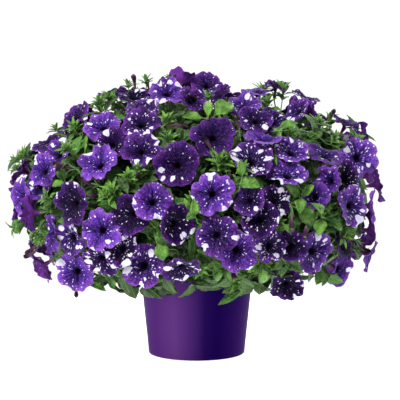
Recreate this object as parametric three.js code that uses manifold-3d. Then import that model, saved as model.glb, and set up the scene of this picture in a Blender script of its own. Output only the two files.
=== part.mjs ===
// A petunia in full bloom in a tapered plastic pot, in millimetres, +Z up.
// The origin is the middle of the pot's underside. The pot stands on a foot ring and a centre pad,
// the potting mix fills it, twelve leafy stems stand in holes in the mix, and sprays of five-lobed
// blooms are carried on the stems' shoots, a hair's breadth clear of them.
import * as THREE from "three";
import { mergeVertices } from "three/addons/utils/BufferGeometryUtils.js";
import Module from "manifold-3d";

const wasm = await Module();
wasm.setup();
const { Manifold, Mesh } = wasm;

// ---------------------------------------------------------------- driving dimensions

const GAP = 0.3; // clearance between pieces that touch
const SLIVER = 0.15; // how far a join's slivers may be evened out
const POT = {
  height: 140,
  footRadius: 72,
  taper: 0.104, // growth of the radius for each millimetre of height
  wall: 2.2,
  floorTop: 4,
  recess: 1.6, // how far the underside is raised between the foot ring and the centre pad
  padRadius: 22,
  footWidth: 9,
  lipHeight: 13,
  lipStep: 2.6,
  sides: 28,
};
const DRAIN = { count: 6, radius: 5, circle: 42, sides: 6 };
const SOIL = { top: 121, lump: 2.2, holeSides: 6 };
const STEM = {
  count: 12,
  rings: [20, 40], // radii of the two circles that the stems stand on, in turn
  rootDepth: 22,
  crownRadius: 4.6,
  radius: 2,
  tipRadius: 1.5,
  stations: 6,
  attempts: 12,
  sides: 4,
};
const MOUND = { centre: new THREE.Vector3(0, 0, 238), across: 273, up: 160, core: 200 };
// Lengths of a bloom in shares of its radius, and in millimetres of its stalk and its levels.
const BLOOM = { tube: 1.1, throat: 0.2, notch: 0.83, depth: 0.36 };
const STALK = { radius: 1.15, root: 0.7 };
const LEVELS = { step: 10, count: 9 };
const SPRAY = { lowBelow: 190, topAbove: 300, hubInset: 24, knotRadius: 2.1, knotHalf: 2, droop: 0.45 };
const FILL = { candidates: 400, behind: -70, lowest: 150, room: 56, radius: 26 };
const BUD = { radius: 3.6, proud: 12, apart: 90 };
const TUFT = { count: 34, spacing: 44, candidates: 700, proud: 7, tipLeaf: 17, leaf: 40 };

// The front blooms and buds are placed along lines of sight of a 400 x 400 pixel picture.
const SIGHT = {
  eye: new THREE.Vector3(5, -2000, 393),
  aim: new THREE.Vector3(5, 0, 230),
  mmPerPixel: 1.5, // at the aim point
  middle: 200,
};

const PETAL = { color: 0x4a2391, roughness: 0.62, metalness: 0 };
const LEAF = { color: 0x4d8a2e, roughness: 0.7, metalness: 0 };
const PLASTIC = { color: 0x3a1769, roughness: 0.35, metalness: 0 };
const PEAT = { color: 0x2b1d14, roughness: 0.95, metalness: 0 };

// Front blooms, nearest to the viewer first: pixel across, pixel down, yaw and pitch of the face
// in degrees (0, 0 looks at the viewer, +yaw to the right, +pitch up), diameter in millimetres.
const FRONT_BLOOMS = [
  [177, 164, -5, 15, 58],
  [213, 193, 5, 15, 56],
  [101, 230, -15, 10, 56],
  [143, 266, -10, 2, 58],
  [217, 235, 0, 8, 54],
  [315, 252, 34, -6, 58],
  [359, 157, 18, 14, 58],
  [213, 136, 2, 28, 58],
  [252, 159, 8, 42, 58],
  [141, 149, -8, 38, 54],
  [153, 202, 6, 14, 50],
  [75, 273, -22, -14, 58],
  [287, 286, 10, -22, 48],
  [341, 270, 46, -16, 50],
  [72, 204, -42, 2, 58],
  [98, 163, -28, 40, 56],
  [20, 196, -62, 6, 54],
  [167, 91, 2, 50, 54],
  [264, 138, 16, 64, 56],
  [353, 206, 44, 2, 58],
  [141, 122, -4, 46, 54],
  [130, 215, -30, 0, 54],
  [177, 224, 34, -8, 52],
  [237, 251, 10, -8, 56],
  [102, 125, -20, 50, 52],
  [292, 151, 20, 48, 48],
  [288, 173, 14, 40, 52],
  [346, 178, 28, 20, 50],
  [256, 119, 6, 44, 46],
  [42, 170, -42, 26, 52],
  [101, 261, -10, -34, 52],
  [182, 270, 0, -48, 50],
  [271, 246, 12, 0, 46],
  [260, 219, 0, 10, 48],
  [276, 202, 20, 8, 44],
  [249, 200, -12, 20, 42],
  [57, 153, -42, 50, 52],
  [325, 154, 40, 58, 52],
  [75, 116, -46, 46, 48],
  [243, 105, -10, 56, 50],
  [207, 84, 10, 36, 46],
  [328, 181, -48, 10, 44],
  [51, 234, -64, 0, 50],
  [70, 238, -30, -10, 50],
  [122, 249, -10, -12, 46],
  [291, 246, 16, 0, 42],
  [373, 206, 80, 0, 50],
  [371, 256, 74, -20, 48],
  [30, 214, -100, -10, 50],
  [41, 267, -100, -32, 50],
  [49, 141, -52, 60, 50],
  [142, 108, 0, 62, 46],
  [312, 114, 122, 30, 48],
  [297, 110, -56, 42, 44],
  [306, 97, 60, 62, 42],
  [258, 91, 0, 78, 48],
  [181, 81, 160, 42, 46],
  [192, 100, 30, 40, 42],
  [112, 94, -30, 72, 46],
  [134, 96, 0, 60, 42],
  [347, 123, 60, 58, 46],
  [366, 136, 88, 34, 46],
  [113, 143, 0, 44, 44],
  [220, 95, -60, 42, 40],
  [345, 247, 60, 18, 42],
  [273, 120, 20, 60, 42],
  [371, 231, 100, -10, 44],
  [316, 196, 0, 20, 38],
  [276, 85, 30, 70, 36],
  [38, 187, -52, 0, 42],
];

// Front buds: pixel of the tip across and down, yaw and pitch of the way they point, length.
const FRONT_BUDS = [
  [133, 74, -20, 66, 34],
  [146, 78, -25, 60, 30],
  [163, 76, 8, 76, 28],
  [41, 131, -50, 44, 28],
  [15, 162, -60, 40, 30],
  [25, 255, -75, -38, 38],
  [32, 262, -60, -40, 36],
  [76, 298, -5, -68, 28],
  [335, 109, 48, 52, 30],
  [207, 118, -10, 30, 34],
  [292, 230, -2, -62, 32],
  [305, 238, -12, -52, 34],
  [235, 280, 18, -44, 34],
  [54, 166, -70, 8, 36],
];

// ---------------------------------------------------------------- small tools

const vector = (x, y, z) => new THREE.Vector3(x, y, z);
const radians = THREE.MathUtils.degToRad;
const acrossY = vector(1, -1, 1); // mirrors the near side to the far side

// The same draw between 0 and 1 for the same two numbers.
function draw(seed, turn) {
  const s = Math.sin(seed * 12.9898 + turn * 78.233) * 43758.5453;
  return s - Math.floor(s);
}

// A point away from `from`: each pair is a direction and a distance along it.
function along(from, ...steps) {
  const point = from.clone();
  for (let i = 0; i < steps.length; i += 2) point.addScaledVector(steps[i], steps[i + 1]);
  return point;
}

// The direction with a yaw and pitch, where 0, 0 looks along -Y.
function facing(yaw, pitch) {
  const [a, e] = [radians(yaw), radians(pitch)];
  return vector(Math.sin(a) * Math.cos(e), -Math.cos(a) * Math.cos(e), Math.sin(e));
}

// Two directions square to `axis`, turned round it by `roll` degrees.
function sidesOf(axis, roll = 0) {
  const up = Math.abs(axis.z) < 0.92 ? vector(0, 0, 1) : vector(0, 1, 0);
  const u = new THREE.Vector3().crossVectors(up, axis).normalize().applyAxisAngle(axis, radians(roll));
  return [u, new THREE.Vector3().crossVectors(axis, u)];
}

// The sides of one axis, carried over to another by the shortest turn.
function carried([u, v], from, to) {
  const turn = new THREE.Quaternion().setFromUnitVectors(from, to);
  return [u.clone().applyQuaternion(turn), v.clone().applyQuaternion(turn)];
}

function ring(centre, [u, v], radius, count) {
  return Array.from({ length: count }, (_, k) => {
    const a = (k / count) * 2 * Math.PI;
    return along(centre, u, radius * Math.cos(a), v, radius * Math.sin(a));
  });
}

// The triangles between two rings that start at the same angle, whatever their counts. Where both
// rings could step on, the one with more points does, so that two bands on one ring split it alike.
function band(a, countA, b, countB) {
  const faces = [];
  let [i, j] = [0, 0];
  while (i < countA || j < countB) {
    const lead = (j + 1) * countA - (i + 1) * countB;
    const stepA = j >= countB || (i < countA && (lead > 0 || (lead === 0 && countA > countB)));
    const [p, q] = [a + (i % countA), b + (j % countB)];
    if (stepA) faces.push([p, a + ((i + 1) % countA), q]);
    else faces.push([p, b + ((j + 1) % countB), q]);
    if (stepA) i += 1;
    else j += 1;
  }
  return faces.filter(([x, y, z]) => x !== y && y !== z && z !== x);
}

// A closed solid over a row of rings. A ring of one point is a tip, and others are capped flat.
function skin(rings) {
  const faces = [];
  let start = 0;
  rings.forEach((here, i) => {
    const next = rings[i + 1];
    if (next) faces.push(...band(start, here.length, start + here.length, next.length));
    const last = i === rings.length - 1;
    if (i === 0) for (let k = 1; k < here.length - 1; k++) faces.push([start, start + k + 1, start + k]);
    if (last) for (let k = 1; k < here.length - 1; k++) faces.push([start, start + k, start + k + 1]);
    start += here.length;
  });
  return new Manifold(
    new Mesh({
      numProp: 3,
      vertProperties: new Float32Array(rings.flat().flatMap((p) => p.toArray())),
      triVerts: new Uint32Array(faces.flat()),
    }),
  );
}

// A solid of revolution about Z from [radius, height] pairs that start and end on the axis.
function turned(profile, sides) {
  const lathe = new THREE.LatheGeometry(
    profile.map(([r, z]) => new THREE.Vector2(r, z)),
    sides,
  ).rotateX(Math.PI / 2);
  lathe.deleteAttribute("normal").deleteAttribute("uv");
  const merged = mergeVertices(lathe, 1e-4);
  const index = merged.index.array;
  const kept = [];
  for (let i = 0; i < index.length; i += 3) {
    const [a, b, c] = index.slice(i, i + 3);
    if (a !== b && b !== c && c !== a) kept.push(a, b, c);
  }
  return new Manifold(
    new Mesh({
      numProp: 3,
      vertProperties: merged.attributes.position.array,
      triVerts: new Uint32Array(kept),
    }),
  );
}

// An upright prism at x, y between two heights.
function peg(x, y, low, high, radius, sides) {
  const up = vector(0, 0, 1);
  const ends = [low, high].map((z) => ring(vector(x, y, z), sidesOf(up), radius, sides));
  return skin(ends);
}

// ---------------------------------------------------------------- pot and potting mix

const wallRadius = (z) => POT.footRadius + POT.taper * z;

function pot() {
  const { height, wall, floorTop, recess, padRadius, footWidth, lipHeight, lipStep } = POT;
  const lipLow = height - lipHeight;
  const edge = 1.2;
  const profile = [
    [0, 0],
    [padRadius, 0],
    [padRadius + recess, recess],
    [POT.footRadius - footWidth - recess, recess],
    [POT.footRadius - footWidth, 0],
    [POT.footRadius, 0],
    [wallRadius(lipLow), lipLow],
    [wallRadius(lipLow) + lipStep, lipLow + edge],
    [wallRadius(height) + lipStep, height - edge],
    [wallRadius(height) + lipStep - edge, height],
    [wallRadius(height) - wall, height],
    [wallRadius(floorTop) - wall, floorTop],
    [0, floorTop],
  ];
  const holes = Array.from({ length: DRAIN.count }, (_, k) => {
    const a = ((k + 0.5) / DRAIN.count) * 2 * Math.PI;
    const [x, y] = [DRAIN.circle * Math.cos(a), DRAIN.circle * Math.sin(a)];
    return peg(x, y, -1, floorTop + 1, DRAIN.radius, DRAIN.sides);
  });
  return turned(profile, POT.sides).subtract(Manifold.union(holes));
}

// Where stem k leaves the potting mix.
function stemFoot(k) {
  const a = ((k + 0.5) / STEM.count) * 2 * Math.PI;
  const r = STEM.rings[k % STEM.rings.length];
  return vector(r * Math.cos(a), r * Math.sin(a), SOIL.top);
}

// The mix fills the pot to below its lip, with a lumpy top, and has a plain hole for each stem.
function pottingMix() {
  const inner = (z) => wallRadius(z) - POT.wall - 1.2 * GAP;
  const low = POT.floorTop + GAP;
  const up = vector(0, 0, 1);
  const lumpy = (radius, turn) =>
    ring(vector(0, 0, SOIL.top), sidesOf(up), radius, POT.sides / 2).map((p, k) =>
      along(p, up, SOIL.lump * (draw(k, turn) - 0.5)),
    );
  const edge = ring(vector(0, 0, SOIL.top - 3), sidesOf(up), inner(SOIL.top - 3), POT.sides);
  const body = skin([
    ring(vector(0, 0, low), sidesOf(up), inner(low), POT.sides),
    edge,
    lumpy(64, 1),
    lumpy(32, 2),
    [vector(0, 0, SOIL.top + 1)],
  ]);
  const holes = Array.from({ length: STEM.count }, (_, k) => {
    const foot = stemFoot(k);
    const bottom = SOIL.top - STEM.rootDepth - GAP;
    return peg(foot.x, foot.y, bottom, SOIL.top + 20, STEM.crownRadius + GAP, SOIL.holeSides);
  });
  return body.subtract(Manifold.union(holes));
}

// ---------------------------------------------------------------- the mound's shape

// Outward direction of the mound's surface at a point.
function outwardAt(point) {
  const d = point.clone().sub(MOUND.centre);
  return vector(d.x / MOUND.across ** 2, d.y / MOUND.across ** 2, d.z / MOUND.up ** 2).normalize();
}

// The point of the mound, shrunk by `inset`, that a pixel's line of sight meets first, or passes closest to.
function seenAt(pixelX, pixelY, inset) {
  const forward = SIGHT.aim.clone().sub(SIGHT.eye);
  const reach = forward.length();
  forward.normalize();
  const right = vector(1, 0, 0);
  const up = new THREE.Vector3().crossVectors(right, forward);
  const ray = forward
    .clone()
    .multiplyScalar(reach)
    .addScaledVector(right, (pixelX - SIGHT.middle) * SIGHT.mmPerPixel)
    .addScaledVector(up, (SIGHT.middle - pixelY) * SIGHT.mmPerPixel);
  const size = vector(MOUND.across - inset, MOUND.across - inset, MOUND.up - inset);
  const o = SIGHT.eye.clone().sub(MOUND.centre).divide(size);
  const d = ray.clone().divide(size);
  const [a, b, c] = [d.dot(d), o.dot(d), o.dot(o) - 1];
  const t = (-b - Math.sqrt(Math.max(0, b * b - a * c))) / a;
  return along(SIGHT.eye, ray, t);
}

// ---------------------------------------------------------------- where the blooms go

// The height of a bloom's limb above its rim plane, at a share of its radius from the middle.
const limbHeight = (share) => -0.3 * Math.max(0, 1 - share) ** 1.4;

// Lines over a bloom's limb, and along its tube, that stand for it in the crossing test.
function spokes(bloom) {
  const { at, face, radius } = bloom;
  const [u, v] = sidesOf(face);
  const lines = [[along(at, face, -0.3 * radius), along(at, face, -BLOOM.tube * radius)]];
  for (let k = 0; k < 12; k++) {
    const a = (k / 12) * 2 * Math.PI;
    const out = u.clone().multiplyScalar(Math.cos(a)).addScaledVector(v, Math.sin(a));
    const points = [0.15, 0.6, 1].map((s) => along(at, out, s * radius, face, limbHeight(s) * radius));
    lines.push([points[0], points[1]], [points[1], points[2]]);
  }
  return lines;
}

// How many of one bloom's lines cross or touch another bloom's limb.
function crossings(lines, other) {
  const heightOver = (point) => {
    const d = point.clone().sub(other.at);
    const h = d.dot(other.face);
    const r = Math.sqrt(Math.max(0, d.lengthSq() - h * h));
    return [h - limbHeight(r / other.radius) * other.radius, r];
  };
  const touch = 1.8;
  return lines.filter(([p, q]) => {
    const [hp, rp] = heightOver(p);
    const [hq, rq] = heightOver(q);
    if (Math.abs(hq) < touch && rq < other.radius * 1.02) return true;
    if (hp * hq > 0) return false;
    const share = Math.abs(hp) / (Math.abs(hp) + Math.abs(hq) + 1e-9);
    return rp + (rq - rp) * share < other.radius * 1.05;
  }).length;
}

function clashes(bloom, placed) {
  const lines = spokes(bloom);
  return placed
    .filter((other) => other.at.distanceTo(bloom.at) < 1.2 * (other.radius + bloom.radius))
    .reduce((sum, other) => sum + crossings(lines, other) + crossings(spokes(other), bloom), 0);
}

// Points spread evenly over the mound, widest gap between the blooms first.
function gapsBetween(blooms, count) {
  const golden = Math.PI * (3 - Math.sqrt(5));
  const points = [];
  for (let k = 0; k < count; k++) {
    const h = 1 - (2 * (k + 0.5)) / count;
    const r = Math.sqrt(1 - h * h);
    const at = vector(
      MOUND.across * r * Math.cos(k * golden),
      MOUND.across * r * Math.sin(k * golden),
      MOUND.centre.z + MOUND.up * h,
    );
    const underPlant = at.z < 100 || (at.z < 160 && Math.hypot(at.x, at.y) < 120);
    const room = Math.min(...blooms.map((bloom) => bloom.at.distanceTo(at) - 0.9 * bloom.radius));
    if (!underPlant) points.push({ at, room });
  }
  return points.sort((a, b) => b.room - a.room);
}

// Each front bloom goes to the outermost level, with the smallest nudge of its face, where it is clear
// of those before it. The far side repeats the near side mirrored, apart from what would cross it, and
// more blooms fill the widest gaps that don't show from the front.
function placedBlooms() {
  const nudges = [
    [0, 0],
    [14, 0],
    [-14, 0],
    [0, 14],
    [0, -14],
    [14, 14],
    [-14, -14],
  ];
  const front = [];
  FRONT_BLOOMS.forEach(([pixelX, pixelY, yaw, pitch, diameter], i) => {
    let best = null;
    for (let level = 0; level < LEVELS.count && (!best || best.count > 0); level++) {
      const at = seenAt(pixelX, pixelY, level * LEVELS.step);
      for (const [dYaw, dPitch] of nudges) {
        const bloom = { at, face: facing(yaw + dYaw, pitch + dPitch), radius: diameter / 2, seed: i + 1 };
        const count = clashes(bloom, front);
        if (!best || count < best.count) best = { bloom, count };
        if (count === 0) break;
      }
    }
    front.push(best.bloom);
  });
  const blooms = [...front];
  for (const bloom of front) {
    const twin = {
      at: bloom.at.clone().multiply(acrossY),
      face: bloom.face.clone().multiply(acrossY),
      radius: bloom.radius,
      seed: bloom.seed + 100,
    };
    if (clashes(twin, blooms) === 0) blooms.push(twin);
  }
  for (const { at } of gapsBetween(blooms, FILL.candidates)) {
    if (at.y < FILL.behind || at.z < FILL.lowest) continue;
    const room = Math.min(...blooms.map((bloom) => bloom.at.distanceTo(at)));
    if (room < FILL.room) continue;
    const bloom = { at, face: outwardAt(at), radius: FILL.radius, seed: 200 + blooms.length };
    if (clashes(bloom, blooms) === 0) blooms.push(bloom);
  }
  return blooms;
}

function placedBuds(blooms) {
  const buds = [];
  FRONT_BUDS.forEach(([pixelX, pixelY, yaw, pitch, length], i) => {
    const tip = seenAt(pixelX, pixelY, -BUD.proud);
    const way = facing(yaw, pitch);
    buds.push({ tip, way, length, seed: i + 1 });
    const [farTip, farWay] = [tip, way].map((v) => v.clone().multiply(acrossY));
    if (tip.distanceTo(farTip) > BUD.apart) buds.push({ tip: farTip, way: farWay, length, seed: i + 51 });
  });
  return buds.filter(({ tip, way, length }) => {
    const line = [[tip, along(tip, way, -length)]];
    return blooms.every((bloom) => crossings(line, bloom) === 0);
  });
}

// ---------------------------------------------------------------- sprays of blooms

// The part of the mound that a point lies in: one of the stems' sectors, and low, middle or top.
function cellOf(point) {
  const turn = (Math.atan2(point.y, point.x) / (2 * Math.PI) + 1) % 1;
  const sector = Math.floor(turn * STEM.count);
  const level = point.z < SPRAY.lowBelow ? 0 : point.z < SPRAY.topAbove ? 1 : 2;
  return sector * 3 + level;
}

const tubeFoot = (bloom) => along(bloom.at, bloom.face, -BLOOM.tube * bloom.radius);
const budFoot = (bud) => along(bud.tip, bud.way, -bud.length);

// Blooms and buds by cell, with the hub that their stalks meet in and the way its shoot arrives.
function sprayPlans(blooms, buds) {
  const plans = new Map();
  const planOf = (cell) => {
    if (!plans.has(cell)) plans.set(cell, { cell, blooms: [], buds: [] });
    return plans.get(cell);
  };
  blooms.forEach((bloom) => planOf(cellOf(bloom.at)).blooms.push(bloom));
  for (const plan of plans.values()) {
    const feet = plan.blooms.map(tubeFoot);
    const mean = feet.reduce((sum, p) => sum.add(p), vector(0, 0, 0)).divideScalar(feet.length);
    plan.way = mean.clone().sub(vector(0, 0, MOUND.core)).normalize();
    plan.hub = along(mean, plan.way, -SPRAY.hubInset);
    if (mean.z < SPRAY.lowBelow) plan.way.sub(vector(0, 0, SPRAY.droop)).normalize();
  }
  for (const bud of buds) {
    const foot = budFoot(bud);
    const reach = ({ hub }) => hub.distanceTo(foot);
    const nearest = [...plans.values()].reduce((a, b) => (reach(a) < reach(b) ? a : b));
    nearest.buds.push(bud);
  }
  return [...plans.values()].sort((a, b) => a.cell - b.cell);
}

// A bloom in one skin: its stalk from the hub, its tube, the back of the limb, the waved rim of
// five lobes, and the face down to the throat.
function bloomSolid(bloom, hub) {
  const { at, face, radius, seed } = bloom;
  const sides = sidesOf(face, 72 * draw(seed, 9));
  const foot = tubeFoot(bloom);
  const stalkWay = foot.clone().sub(hub).normalize();
  const turnWay = stalkWay.clone().add(face).normalize();
  const back = along(at, face, -(BLOOM.depth + 0.1) * radius);
  const rim = Array.from({ length: 10 }, (_, k) => {
    const a = (k / 10) * 2 * Math.PI;
    const notch = k % 2 === 0;
    const r = radius * (notch ? BLOOM.notch : 0.97 + 0.06 * draw(seed, k));
    const lift = radius * (notch ? 0.03 : 0.16 * (draw(seed, k + 20) - 0.6));
    return along(at, sides[0], r * Math.cos(a), sides[1], r * Math.sin(a), face, lift);
  });
  return skin([
    ring(along(hub, stalkWay, STALK.root), carried(sides, face, stalkWay), STALK.radius, 3),
    ring(foot, carried(sides, face, turnWay), STALK.radius * 1.9, 3),
    ring(back, sides, BLOOM.throat * radius + 0.8, 5),
    rim,
    [along(at, face, -BLOOM.depth * radius)],
  ]);
}

// A bud: its stalk from the hub, and a slim closed flower that swells below its tip.
function budSolid(bud, hub) {
  const { tip, way, length, seed } = bud;
  const sides = sidesOf(way, 120 * draw(seed, 3));
  const foot = budFoot(bud);
  const stalkWay = foot.clone().sub(hub).normalize();
  const turnWay = stalkWay.clone().add(way).normalize();
  return skin([
    ring(along(hub, stalkWay, STALK.root), carried(sides, way, stalkWay), STALK.radius, 3),
    ring(foot, carried(sides, way, turnWay), STALK.radius * 1.2, 3),
    ring(along(tip, way, -0.32 * length), sides, BUD.radius, 4),
    [tip],
  ]);
}

// The small joint that a spray's stalks grow from. It sits just clear of its shoot's end.
function knot({ hub, way }) {
  const ends = [-SPRAY.knotHalf, SPRAY.knotHalf];
  return skin(ends.map((d) => ring(along(hub, way, d), sidesOf(way), SPRAY.knotRadius, 5)));
}

// ---------------------------------------------------------------- keeping pieces apart

const boxesMeet = (a, b, room) =>
  [0, 1, 2].every((k) => a.min[k] - room < b.max[k] && b.min[k] - room < a.max[k]);

const taken = []; // solids that are placed: { solid, box, node, part }

function take(solid, node, part = node) {
  taken.push({ solid, box: solid.boundingBox(), node, part });
  return solid;
}

const keepsGap = (solid, box, other) =>
  !boxesMeet(box, other.box, GAP) || solid.minGap(other.solid, 2 * GAP) >= GAP * 0.9;

// True if a solid keeps the gap to everything placed in other nodes.
function isClearOfNodes(solid, node) {
  const box = solid.boundingBox();
  return taken.every((other) => other.node === node || keepsGap(solid, box, other));
}

// True if a solid also keeps the gap to the other parts of its own node.
function isClearOfParts(solid, part) {
  const box = solid.boundingBox();
  return taken.every((other) => other.part === part || keepsGap(solid, box, other));
}

// ---------------------------------------------------------------- leafy stems

// Stations along a curve with four control points: where each is, the way it points, and the two
// sides of its section, which are carried along the curve without twist.
function stationsOf(controls, count) {
  const bezier = new THREE.CubicBezierCurve3(...controls);
  const stations = [];
  for (let i = 0; i < count; i++) {
    const [at, way] = [bezier.getPoint(i / (count - 1)), bezier.getTangent(i / (count - 1))];
    const before = stations[i - 1];
    stations.push({ at, way, sides: before ? carried(before.sides, before.way, way) : sidesOf(way) });
  }
  return stations;
}

const bareShoot = (stations, radii, sideCount) =>
  skin(stations.map(({ at, sides }, i) => ring(at, sides, radii[i], sideCount)));

// The outline of a whorl of leaves round a stem: between two leaves it comes back to the stem, and
// each broad leaf has two shoulders and a tip. A narrow leaf has its tip alone.
function whorlOutline(centre, way, [u, v], leaves, stemRadius) {
  return leaves.flatMap(({ angle, length, rise, narrow }, i) => {
    const next = leaves[(i + 1) % leaves.length].angle + (i === leaves.length - 1 ? 360 : 0);
    const point = (degrees, r, lift) => {
      const a = radians(degrees);
      return along(centre, u, r * Math.cos(a), v, r * Math.sin(a), way, lift);
    };
    const between = point((angle + next) / 2, stemRadius * 1.5, 0);
    const tip = point(angle, length, length * rise);
    if (narrow) return [tip, between];
    const shoulder = (side) => point(angle + side * 24, length * 0.6, length * (rise * 0.6 + 0.07));
    return [shoulder(-1), tip, shoulder(1), between];
  });
}

// A slim solid over one leaf alone, to test where it reaches.
function leafProbe(centre, way, [u, v], { angle, length, rise, narrow }) {
  const a = radians(angle);
  const out = u.clone().multiplyScalar(Math.cos(a)).addScaledVector(v, Math.sin(a));
  const side = new THREE.Vector3().crossVectors(way, out);
  const half = narrow ? 2.4 : length * 0.26;
  const mid = (across, lift) =>
    along(centre, out, length * 0.55, side, across, way, length * rise * 0.55 + lift);
  return skin([
    [along(centre, out, 1)],
    [mid(half, 0.5), mid(0, 1.6), mid(-half, 0.5), mid(0, -1)],
    [along(centre, out, length + 0.6, way, length * rise)],
  ]);
}

// Turns a whorl to where its leaves are longest, and shortens what would still cross another node.
function fittedWhorl(centre, way, sides, wish, part) {
  const shares = [1, 0.82, 0.64, 0.46];
  let best = null;
  for (let turn = 0; turn < 5; turn++) {
    const angle0 = wish.start + (turn * 360) / (5 * wish.count);
    const leaves = Array.from({ length: wish.count }, (_, k) => {
      const angle = angle0 + (k * 360) / wish.count;
      const share = shares.find((s) => {
        const leaf = { ...wish, angle, length: wish.length * s };
        return isClearOfParts(leafProbe(centre, way, sides, leaf), part);
      });
      return { ...wish, angle, length: wish.length * (share ?? 0.2) };
    });
    const total = leaves.reduce((sum, leaf) => sum + leaf.length, 0);
    if (!best || total > best.total + 0.5) best = { leaves, total };
  }
  return best.total > 0.45 * wish.count * wish.length ? best.leaves : null;
}

// A stem or shoot in one skin, with a whorl of leaves at each wished station.
function leafySkin(stations, radii, whorls, part, sideCount) {
  const rings = stations.flatMap(({ at, way, sides }, i) => {
    const plain = [ring(at, sides, radii[i], sideCount)];
    const wish = whorls.get(i);
    if (!wish) return plain;
    const centre = along(at, way, 0.7);
    const leaves = fittedWhorl(centre, way, sides, wish, part);
    if (!leaves) return plain;
    // The outline starts at the first leaf's angle, so the rings beside it turn to meet it.
    const first = radians(leaves[0].angle - (wish.narrow ? 0 : 24));
    const met = sides.map((side) => side.clone().applyAxisAngle(way, first));
    const outline = whorlOutline(centre, way, sides, leaves, radii[i]);
    const under = ring(at, met, radii[i], sideCount);
    if (i === stations.length - 1) return [under, outline, [along(centre, way, 0.9)]];
    return [under, outline, ring(along(at, way, 1.5), met, radii[i], sideCount)];
  });
  return skin(rings);
}

// The leafiest form of a shoot that is clear of the other nodes: its leaves are shortened by steps.
function shootSolid(stations, radii, whorls, node, part, sideCount) {
  for (const share of [1, 0.8, 0.6]) {
    const shorter = new Map([...whorls].map(([i, wish]) => [i, { ...wish, length: wish.length * share }]));
    const solid = leafySkin(stations, radii, shorter, part, sideCount);
    if (isClearOfNodes(solid, node)) return solid;
  }
  return bareShoot(stations, radii, sideCount);
}

const broadWhorl = (seed, count, length, rise) => ({
  count,
  length: length * (0.85 + 0.3 * draw(seed, 1)),
  rise: rise + 0.25 * (draw(seed, 2) - 0.5),
  start: 360 * draw(seed, 3),
  narrow: false,
});

// The path of the shoot that carries a spray: up from the stem's foot, over the pot's lip and out.
function shootPath(foot, plan, attempt) {
  const end = along(plan.hub, plan.way, -SPRAY.knotHalf - 1.2 * GAP);
  const up = vector(0, 0, 1);
  const [side] = sidesOf(plan.way);
  const sway = attempt === 0 ? 0 : 16 * attempt * (attempt % 2 ? 1 : -1);
  const level = plan.cell % 3;
  const outward = vector(foot.x, foot.y, 0).normalize();
  const controls = [
    along(foot, outward, 2.2 * (1 - level), up, 4),
    along(foot, up, [70, 60, 80][level], outward, [34, 12, -8][level], side, sway),
    along(end, plan.way, [-95, -60, -70][level]),
    end,
  ];
  return stationsOf(controls, STEM.stations);
}

// The places in the gaps between the blooms that leafy tips grow out to, widest gap first.
function tuftPoints(blooms) {
  const chosen = [];
  for (const { at } of gapsBetween(blooms, TUFT.candidates))
    if (chosen.length < TUFT.count && chosen.every((p) => p.distanceTo(at) > TUFT.spacing)) chosen.push(at);
  return chosen;
}

// A leafy tip: a side shoot from a point of its parent's path out to a gap, with broad leaves below
// a whorl of narrow ones. Where it can't reach the gap clear of other nodes it is left out.
function leafyTip(from, at, seed, node, part) {
  const out = outwardAt(at);
  const [side] = sidesOf(out);
  for (let attempt = 0; attempt < 7; attempt++) {
    const sway = attempt === 0 ? 0 : 9 * attempt * (attempt % 2 ? 1 : -1);
    const tip = along(at, out, TUFT.proud - 4 * attempt, side, sway / 3);
    const controls = [from, along(from, out, 14, side, sway), along(tip, out, -40, side, sway), tip];
    const stations = stationsOf(controls, 5);
    const radii = [1.3, 1.2, 1.15, 1.1, 1];
    if (!isClearOfNodes(bareShoot(stations, radii, 3), node)) continue;
    const narrow = { count: 4, length: TUFT.tipLeaf, rise: 0.55, start: 72 * draw(seed, 5), narrow: true };
    const whorls = new Map([
      [2, broadWhorl(seed, 2, TUFT.leaf, 0.5)],
      [3, broadWhorl(seed + 70, 3, TUFT.leaf * 0.8, 0.45)],
      [4, narrow],
    ]);
    return shootSolid(stations, radii, whorls, node, part, 3);
  }
  return null;
}

// ---------------------------------------------------------------- assembly

const petalPaint = new THREE.MeshStandardMaterial(PETAL);
const leafPaint = new THREE.MeshStandardMaterial(LEAF);
const potPaint = new THREE.MeshStandardMaterial(PLASTIC);
const peatPaint = new THREE.MeshStandardMaterial(PEAT);
const plant = new THREE.Group();

// Adds a node. A scrap that a join leaves loose is dropped.
function addNode(name, solid, paint, sliver = SLIVER) {
  const bodies = solid.simplify(sliver).decompose();
  const body = bodies.reduce((a, b) => (a.volume() > b.volume() ? a : b));
  const { numProp, vertProperties, triVerts } = body.getMesh();
  const geometry = new THREE.BufferGeometry();
  const positions = new Float32Array((vertProperties.length / numProp) * 3);
  for (let i = 0; i < positions.length / 3; i++)
    positions.set(vertProperties.subarray(i * numProp, i * numProp + 3), i * 3);
  geometry.setAttribute("position", new THREE.BufferAttribute(positions, 3));
  geometry.setIndex(new THREE.BufferAttribute(new Uint32Array(triVerts), 1));
  const mesh = new THREE.Mesh(geometry, paint);
  mesh.name = name;
  plant.add(mesh);
}

const twoDigits = (n) => String(n).padStart(2, "0");

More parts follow.
